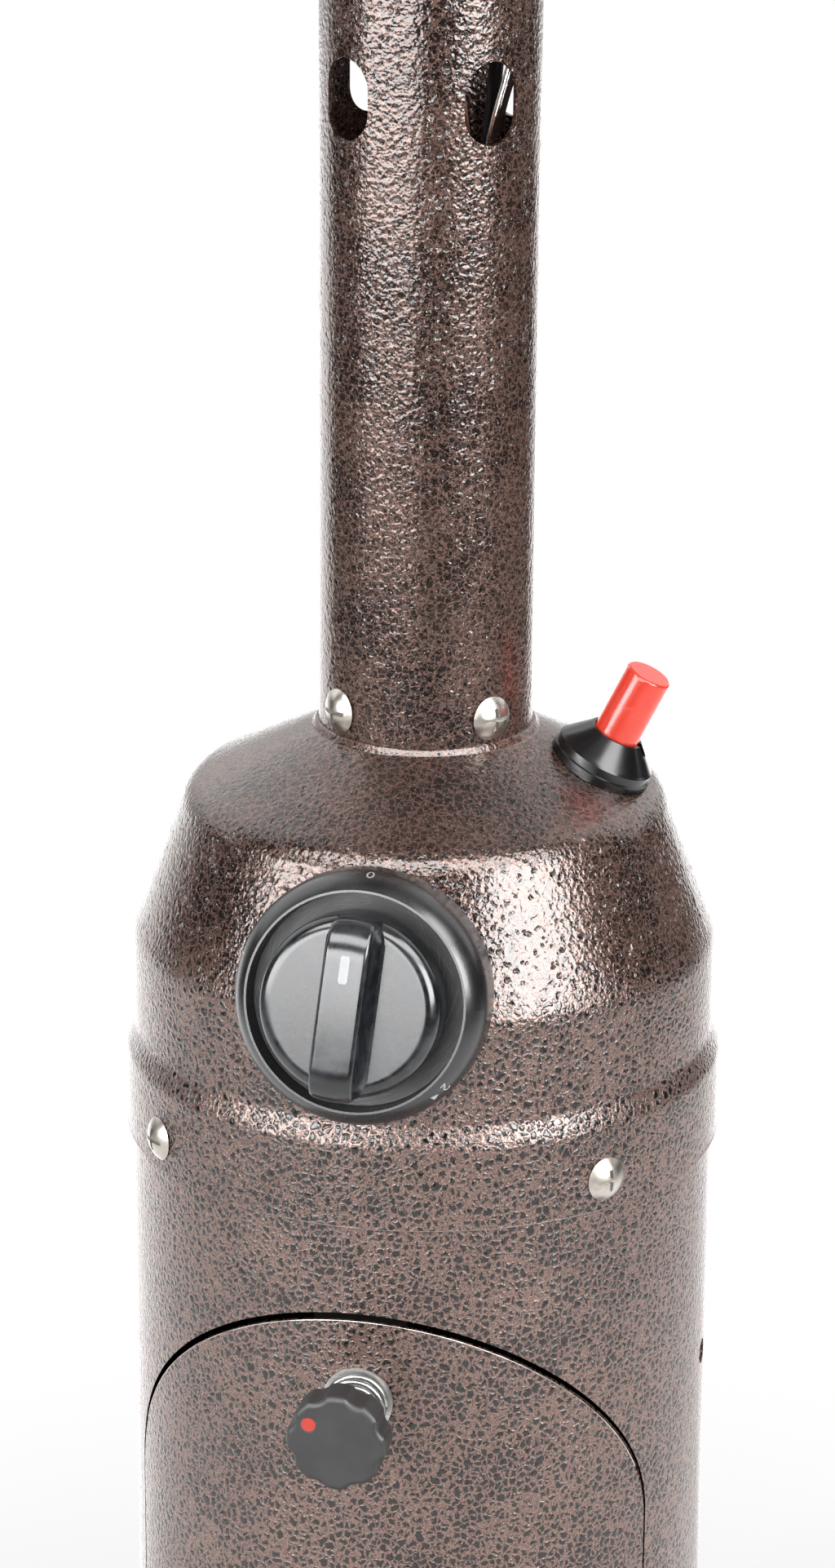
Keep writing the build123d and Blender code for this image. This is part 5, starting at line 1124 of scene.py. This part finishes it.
    def on_knob(self, across: float, up: float, out: float) -> Vector:
        """Point on the knob, which rests turned a little clockwise."""
        turned = Vector((across, up)) @ Matrix.Rotation(math.radians(self.knob_turn), 2)
        return self.at(turned.x, turned.y, out)

    def disc_height(self, radius: float) -> float:
        """Height of the knob's disc at a radius: flat, then rolled down to its edge."""
        past = min(max(radius - self.knob_radius + self.knob_round, 0.0), self.knob_round)
        return self.knob_face - self.knob_round + math.sqrt(self.knob_round ** 2 - past ** 2)

    def grip_height(self, up: float) -> float:
        """Height of the grip's top over the knob's length: nearly level, then rolled down at both ends.

        Args:
            up: how far above the axis the place is.

        Returns:
            The height, out along the axis.
        """
        end = min(max(abs(up) - self.grip_flat, 0.0) / (self.knob_radius - self.grip_flat), 1.0)
        crown = self.grip_crown * (up / self.knob_radius) ** 2
        return self.grip_top - crown - self.grip_drop * (1 - math.sqrt(1 - end ** 2))

    def grip_section(self, up: float) -> list[tuple[float, float]]:
        """Right half of the grip's cross-section, from the middle of its top down its scooped side.

        Args:
            up: how far above the axis the section is.

        Returns:
            Pairs of distance across and height out.
        """
        past = min(max(abs(up) - self.knob_radius + self.grip_corner, 0.0) / self.grip_corner, 1.0)
        tuck = self.grip_corner * (1 - math.sqrt(1 - past ** 2))
        top, half, root = self.grip_height(up), self.grip_half - tuck, self.root_half - tuck
        foot = self.disc_height(math.hypot(root, up)) - self.root_sink
        rounding = self.grip_round
        section = [(half * share, top) for share in (0.0, 0.25, 0.5, 0.7)]
        section += arc((half - rounding, top - rounding), (rounding, rounding), 90, 0, 9)
        lip, bend = section[-1], (half - self.scoop_inset, between(foot, top, 0.1))
        for i in range(1, 13):
            t = i / 12
            section.append(tuple(
                (1 - t) ** 2 * a + 2 * t * (1 - t) * b + t * t * c for a, b, c in zip(lip, bend, (root, foot))
            ))
        return section

    def grip_rows(self) -> list[list[Vector]]:
        """Rows of points over the grip from end to end, and down both end walls to the disc's edge.

        Returns:
            The rows.
        """
        steps, rim = 96, self.knob_radius - 0.03 * MM
        rows = []
        for i in range(steps + 1):
            share = math.sin(math.pi * (i / steps - 0.5))
            half = self.grip_section(share * self.knob_radius)
            section = [(-x, out) for x, out in reversed(half[1:])] + half
            rows.append([(x, share * math.sqrt(rim ** 2 - x ** 2), out) for x, out in section])
        low = self.knob_face - self.knob_round - 0.1 * MM
        for position, edge in ((0, rows[0]), (len(rows), rows[-1])):
            wall = [[(x, up, between(out, low, k / 4)) for x, up, out in edge] for k in range(1, 5)]
            rows[position:position] = reversed(wall) if position == 0 else wall
        return [[self.on_knob(*point) for point in row] for row in rows]

    def moulded_knob(self) -> Piece:
        """Makes the knob: a round skirt with a rolled edge and a scooped grip bar across it.

        Returns:
            The knob.
        """
        knob = Sketch("knob_moulding")
        edge = self.skirt_edge
        inner, outer = self.knob_radius - self.knob_round, self.knob_radius - edge
        skirt = [(self.knob_radius - self.skirt_wall, self.knob_low), (outer, self.knob_low)]
        skirt += arc((outer, self.knob_low + edge), (edge, edge), -75, 0, 4)
        skirt += [(self.knob_radius, self.knob_low + 3 * MM)]
        skirt += arc((inner, self.knob_face - self.knob_round), (self.knob_round, self.knob_round), 0, 90, 13)
        skirt += [(inner * share, self.knob_face) for share in (0.985, 0.9, 0.6, 0.3, 0.02)]
        turns = 144
        rows = []
        for radius, out in skirt:
            angles = [2 * math.pi * i / turns for i in range(turns)]
            rows.append([self.at(radius * math.sin(a), radius * math.cos(a), out) for a in angles])
        knob.strip(rows, closed=True)
        knob.strip(self.grip_rows())
        piece = knob.finish(KNOB_BLACK, Body.CONTROL, Slot.BLACK)
        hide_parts("control_knob")
        return piece

    def pointer(self) -> Piece:
        """Makes the white block let into the top of the knob's grip.

        Returns:
            The block.
        """
        block = Sketch("knob_pointer")
        rows = []
        steps, corner = 12, self.pointer_corner
        for i in range(steps + 1):
            up = between(self.pointer_low, self.pointer_high, i / steps)
            end = min(up - self.pointer_low, self.pointer_high - up, corner)
            half = self.pointer_width / 2 - corner + math.sqrt(max(corner ** 2 - (corner - end) ** 2, 0.0))
            out = self.grip_height(up) + self.ink_rise
            rows.append([self.on_knob(half * (j / 3 - 1), up, out) for j in range(7)])
        block.strip(rows)
        return block.finish(INK, Body.CONTROL, Slot.BLACK)

    def pieces(self) -> list[Piece]:
        """Makes the printed marks, the knob and its pointer."""
        return [self.dial_marks(), self.moulded_knob(), self.pointer()]


@dataclass
class GasTrain(SubAssembly):
    """Valve, regulator and anti-tip switch inside the dome."""

    finishes: ClassVar[dict[str, Finish]] = {
        "gas_valve": CASTING, "valve_screws": ZINC, "valve_bracket": ZINC, "regulator": CASTING,
        "regulator_inlet": BRASS, "inlet_disc": BRASS, "feed_tube": BRASS, "tilt_switch": MOULDED_BLACK,
        "tilt_switch_lead": SLEEVE,
    }


@dataclass
class Igniter(SubAssembly):
    """Push-button piezo igniter on the dome's shoulder."""

    finishes: ClassVar[dict[str, Finish]] = {
        "igniter_collar": GLOSS_BLACK, "igniter_barrel": MOULDED_BLACK, "igniter_nut": MOULDED_BLACK,
        "igniter_button": RED_PUSH, "igniter_spring": SPRING_WIRE,
    }


@dataclass
class BurnerHead(SubAssembly):
    """Burner under its perforated emitter screen."""

    screen_sheet: float = 0.8 * MM
    hole_radius: float = 2.1 * MM
    hole_pitch: float = 6.5 * MM
    row_share: float = 0.88
    plain_band: float = 9.0 * MM

    finishes: ClassVar[dict[str, Finish]] = {
        "emitter_cup": ENAMEL, "cup_screws": NICKEL, "orifice_holder": BRASS, "mixing_tube": STAINLESS,
        "burner_head": BURNER, "pilot_bracket": STAINLESS, "pilot_burner": STAINLESS,
        "thermocouple_tip": COPPER, "spark_electrode": CERAMIC, "emitter_cap": HEATED,
    }

    def pieces(self) -> list[Piece]:
        """Makes the emitter screen with its staggered holes.

        Returns:
            The piece, in a list.
        """
        low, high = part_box("emitter_screen")
        radius = high.x
        count = round(2 * math.pi * radius / self.hole_pitch)
        step = 360.0 / count
        bottom, top = low.z + self.plain_band, high.z - self.plain_band
        rows = round((top - bottom) / (self.hole_pitch * self.row_share))
        rise = (top - bottom) / rows
        screen = Sketch("emitter_mesh")
        across = (-0.5, -0.25, 0.0, 0.25, 0.5)
        border = [(x, -0.5) for x in across] + [(0.5, 0.0)]
        border += [(-x, -y) for x, y in border]
        width = math.radians(step) * radius
        for row in range(rows):
            for column in range(count):
                azimuth = (column + 0.5 * (row % 2)) * step
                height = bottom + (row + 0.5) * rise
                outer, inner = [], []
                for x, y in border:
                    outer.append(polar(radius, azimuth + x * step, height + y * rise))
                    way = Vector((x * width, y * rise)).normalized() * self.hole_radius
                    inner.append(polar(radius, azimuth + math.degrees(way.x / radius), height + way.y))
                screen.strip([outer, inner], closed=True)
        for start, end in ((low.z, bottom), (top, high.z)):
            band = [[polar(radius, i * step / 4, z) for i in range(count * 4)] for z in (start, end)]
            screen.strip(band, closed=True)
        screen.weld()
        piece = screen.finish(HEATED, Body.STAND, Slot.STAINLESS)
        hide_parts("emitter_screen")
        sheet = piece.modifiers.new("sheet", "SOLIDIFY")
        sheet.thickness = self.screen_sheet
        sheet.offset = -1.0
        return [piece]


@dataclass
class Reflector(SubAssembly):
    """Spun reflector on three studs."""

    finishes: ClassVar[dict[str, Finish]] = {
        "reflector": SPUN, "reflector_studs": ZINC, "reflector_washers": NICKEL, "wing_nuts": NICKEL,
    }


# ---- studio ----
DISC_SIDES = 96


@dataclass
class Softbox:
    """A large soft lamp that lights the heater without showing in its gloss."""

    name: str
    azimuth: float
    elevation: float
    width: float
    height: float
    radiance: float
    distance: float = 2.2
    aim: Point = (0.0, 0.0, 0.45)

    def build(self) -> None:
        """Hangs the lamp and turns it to its aim."""
        lamp = bpy.data.lights.new(self.name, "AREA")
        lamp.shape = "RECTANGLE"
        lamp.size, lamp.size_y = self.width, self.height
        lamp.energy = self.radiance * math.pi * self.width * self.height
        holder = bpy.data.objects.new(self.name, lamp)
        aim = Vector(self.aim)
        level = math.radians(self.elevation)
        holder.location = aim + polar(
            self.distance * math.cos(level), self.azimuth, self.distance * math.sin(level)
        )
        holder.rotation_euler = (aim - holder.location).to_track_quat("-Z", "Y").to_euler()
        holder.visible_camera = holder.visible_glossy = False
        bpy.context.scene.collection.objects.link(holder)


@dataclass
class StagePiece:
    """A piece of the studio with a material of its own."""

    name: str

    def place_mesh(self, points: Sequence[Vector], faces: Sequence[Sequence[int]]) -> Piece:
        """Puts the piece in the scene as a part of the stage.

        Args:
            points: its corners.
            faces: the corners of each face, by number.

        Returns:
            The piece, with an empty material.
        """
        mesh = bpy.data.meshes.new(self.name)
        mesh.from_pydata(points, [], faces)
        mesh.materials.append(bpy.data.materials.new(self.name))
        mesh.materials[0].use_nodes = True
        piece = bpy.data.objects.new(self.name, mesh)
        bpy.context.scene.collection.objects.link(piece)
        return piece

    def place_disc(self, radius: float, height: float) -> Piece:
        """Puts the piece in the scene as a flat disc round the heater's axis."""
        rim = [polar(radius, i * 360 / DISC_SIDES, height) for i in range(DISC_SIDES)]
        return self.place_mesh(rim, [tuple(range(DISC_SIDES))])

    def glow(self, piece: Piece, strength: Callable[[Wiring], object]) -> None:
        """Makes the piece glow for glossy rays alone.

        Args:
            piece: the piece.
            strength: gives its brightness, from the wiring of its material.
        """
        tree = piece.active_material.node_tree
        wiring = Wiring(tree)
        tree.nodes.remove(tree.nodes["Principled BSDF"])
        light = wiring.add("Emission", {"Strength": strength(wiring)}).outputs[0]
        wiring.join(tree.nodes["Material Output"], {"Surface": light})
        piece.visible_camera = piece.visible_diffuse = piece.visible_shadow = False
        piece.visible_transmission = piece.visible_volume_scatter = False


@dataclass
class GlossCard(StagePiece):
    """A bright card that shows only in glossy surfaces, bent to one distance round the heater."""

    azimuths: tuple[float, float]
    elevations: tuple[float, float]
    strength: float
    distance: float = 1.3
    centre: float = 0.35
    for_reflector: bool = False
    steps: int = 12

    def build(self) -> None:
        """Bends the card round the heater and hides it from all but glossy rays."""
        lines = range(self.steps + 1)
        points = []
        for i in lines:
            level = math.radians(between(*self.elevations, i / self.steps))
            radius, height = self.distance * math.cos(level), self.centre + self.distance * math.sin(level)
            points += [polar(radius, between(*self.azimuths, j / self.steps), height) for j in lines]
        corners = [i * len(lines) + j for i in range(self.steps) for j in range(self.steps)]
        card = self.place_mesh(points, [(k, k + 1, k + len(lines) + 1, k + len(lines)) for k in corners])
        self.glow(card, lambda wiring: self.strength)
        self.choose_receivers(card)

    def choose_receivers(self, card: Piece) -> None:
        """Shows the card in the bare reflector and its nuts alone, or in all but these.

        The bright cards would turn the reflector plain white.

        Args:
            card: the card.
        """
        receivers = bpy.data.collections.new(f"{self.name}_receivers")
        for node in Reflector.finishes:
            receivers.objects.link(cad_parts[node])
        for entry in receivers.collection_objects:
            entry.light_linking.link_state = "INCLUDE" if self.for_reflector else "EXCLUDE"
        card.light_linking.receiver_collection = receivers


@dataclass
class BounceDisc(StagePiece):
    """The bright tabletop that shows in gloss facing down, fading with its distance from the heater."""

    radius: float = 3.0
    height: float = 0.5 * MM
    strength: float = 1.6
    far_strength: float = 0.04
    back_strength: float = 2.5
    fade: tuple[float, float] = (0.5, 1.3)
    back_edge: tuple[float, float] = (0.66, 0.76)

    def build(self) -> None:
        """Lays the disc just over the floor and hides it from all but glossy rays."""
        self.glow(self.place_disc(self.radius, self.height), self.brightness)

    def brightness(self, wiring: Wiring) -> Socket:
        """Brightness that fades with distance, and stays high behind the heater.

        Args:
            wiring: the disc's material.

        Returns:
            The brightness.
        """
        place = wiring.place()
        near = wiring.ease(wiring.measure("LENGTH", place), *self.fade, self.strength, self.far_strength)
        way = wiring.measure("DOT_PRODUCT", wiring.vector("NORMALIZE", place), BACK_WAY)
        return wiring.most(near, wiring.ease(way, *self.back_edge, 0.0, self.back_strength))


@dataclass
class Floor(StagePiece):
    """The pale round floor, which keeps the heater's shadow and fades to plain white."""

    radius: float = 1.5
    colour: Colour = (0.92, 0.92, 0.92)
    shadow_share: float = 0.3
    shadow_reach: tuple[float, float] = (0.16, 0.36)

    def build(self) -> None:
        """Lays the floor and gives it its paper."""
        tree = self.place_disc(self.radius, 0.0).active_material.node_tree
        wiring = Wiring(tree)
        place = wiring.place()
        paper = tree.nodes["Principled BSDF"]
        wiring.join(paper, {
            "Base Color": rgba(self.colour), "Roughness": 0.85,
            "Normal": wiring.bump(wiring.noise(place, 900.0, 3.0), 0.02 * MM),
        })
        white = wiring.add("Emission", {"Color": rgba((1, 1, 1)), "Strength": 1.0}).outputs["Emission"]
        path = wiring.add("LightPath").outputs
        shown = wiring.most(path["Is Camera Ray"], path["Is Transmission Ray"])
        seen = wiring.most(shown, path["Is Glossy Ray"])
        fade = wiring.ease(wiring.measure("LENGTH", place), *self.shadow_reach, 1 - self.shadow_share, 1.0)
        blend = wiring.add("MixShader", {0: wiring.times(seen, fade), 1: paper.outputs["BSDF"], 2: white})
        wiring.join(tree.nodes["Material Output"], {"Surface": blend.outputs[0]})


@dataclass
class Studio:
    """Pale floor, white surroundings, soft lamps, bright cards and the camera."""

    ambient: float = 0.3
    side_tone: float = 0.05
    back_edge: tuple[float, float] = (0.66, 0.78)
    camera_place: Point = (0.2475, -1.1742, 0.728)
    camera_heading: float = 12.0
    camera_pitch: float = 71.46
    camera_roll: float = 0.41
    camera_lens: float = 108.36

    def build_world(self) -> None:
        """Makes surroundings that are white to the camera and behind the heater, and dimmer at its sides."""
        world = bpy.data.worlds.new("studio")
        bpy.context.scene.world = world
        world.use_nodes = True
        wiring = Wiring(world.node_tree)
        path = wiring.add("LightPath").outputs
        way = wiring.measure("DOT_PRODUCT", wiring.add("TexCoord").outputs["Generated"], BACK_WAY)
        behind = wiring.ease(way, *self.back_edge, self.side_tone, 1.0)
        level = wiring.most(path["Is Camera Ray"], path["Is Transmission Ray"])
        gloss = wiring.times(path["Is Glossy Ray"], behind)
        soft = wiring.times(path["Is Diffuse Ray"], self.ambient)
        strength = wiring.most(level, wiring.most(gloss, soft))
        wiring.join(world.node_tree.nodes["Background"], {"Color": rgba((1, 1, 1)), "Strength": strength})

    def build_stage(self) -> None:
        """Lays the floor, and hangs the soft lamps and the bright cards round the heater."""
        for piece in (
            Floor("floor"),
            # azimuth, elevation, width, height, radiance
            Softbox("left_softbox", -35.0, 15.0, 1.4, 1.6, 1.35),
            Softbox("right_softbox", 62.0, 20.0, 1.4, 1.6, 1.75),
            Softbox("top_softbox", 10.0, 65.0, 1.4, 1.4, 0.45),
            Softbox("back_left_softbox", -150.0, 30.0, 1.4, 1.6, 1.8),
            Softbox("back_right_softbox", 150.0, 30.0, 1.4, 1.6, 1.8),
            # azimuths, elevations, strength
            GlossCard("front_left_card", (-60.0, 0.0), (-3.0, 18.0), 14.0),
            GlossCard("right_card", (38.0, 76.0), (1.0, 30.0), 18.0),
            GlossCard("high_card", (-54.0, 84.0), (34.0, 56.0), 12.0),
            GlossCard("left_back_card", (-150.0, -90.0), (12.0, 62.0), 1.8),
            GlossCard("right_back_card", (118.0, 165.0), (5.0, 60.0), 1.6),
            # azimuths, elevations, strength, distance, centre, whether for the reflector
            GlossCard("low_reflector_card", (-180.0, 180.0), (3.0, 35.0), 0.45, 0.31, 0.83, True),
            GlossCard("high_reflector_card", (-180.0, 180.0), (35.0, 88.0), 1.0, 0.31, 0.83, True),
            BounceDisc("bounce_disc"),
        ):
            piece.build()

    def build_camera(self) -> None:
        """Sets the camera slightly to the right, looking down at the dome."""
        data = bpy.data.cameras.new("camera")
        data.lens = self.camera_lens
        camera = bpy.data.objects.new("camera", data)
        turn = Matrix.Rotation(math.radians(self.camera_heading), 4, "Z")
        pitch = Matrix.Rotation(math.radians(self.camera_pitch), 4, "X")
        roll = Matrix.Rotation(math.radians(self.camera_roll), 4, "Z")
        camera.matrix_world = Matrix.Translation(self.camera_place) @ turn @ pitch @ roll
        bpy.context.scene.collection.objects.link(camera)
        bpy.context.scene.camera = camera

    def build(self) -> None:
        """Sets up the studio."""
        self.build_stage()
        self.build_world()
        self.build_camera()
        bpy.context.scene.view_settings.view_transform = "Standard"


def main() -> None:
    """Builds every sub-assembly and the studio."""
    logging.basicConfig(level=logging.INFO, format="%(message)s")
    for group in (
        Base(), CylinderHousing(), Door(), ControlDome(), Pole(), Control(), GasTrain(), Igniter(),
        BurnerHead(), Reflector(),
    ):
        group.build()
    Studio().build()


if __name__ == "__main__":
    main()
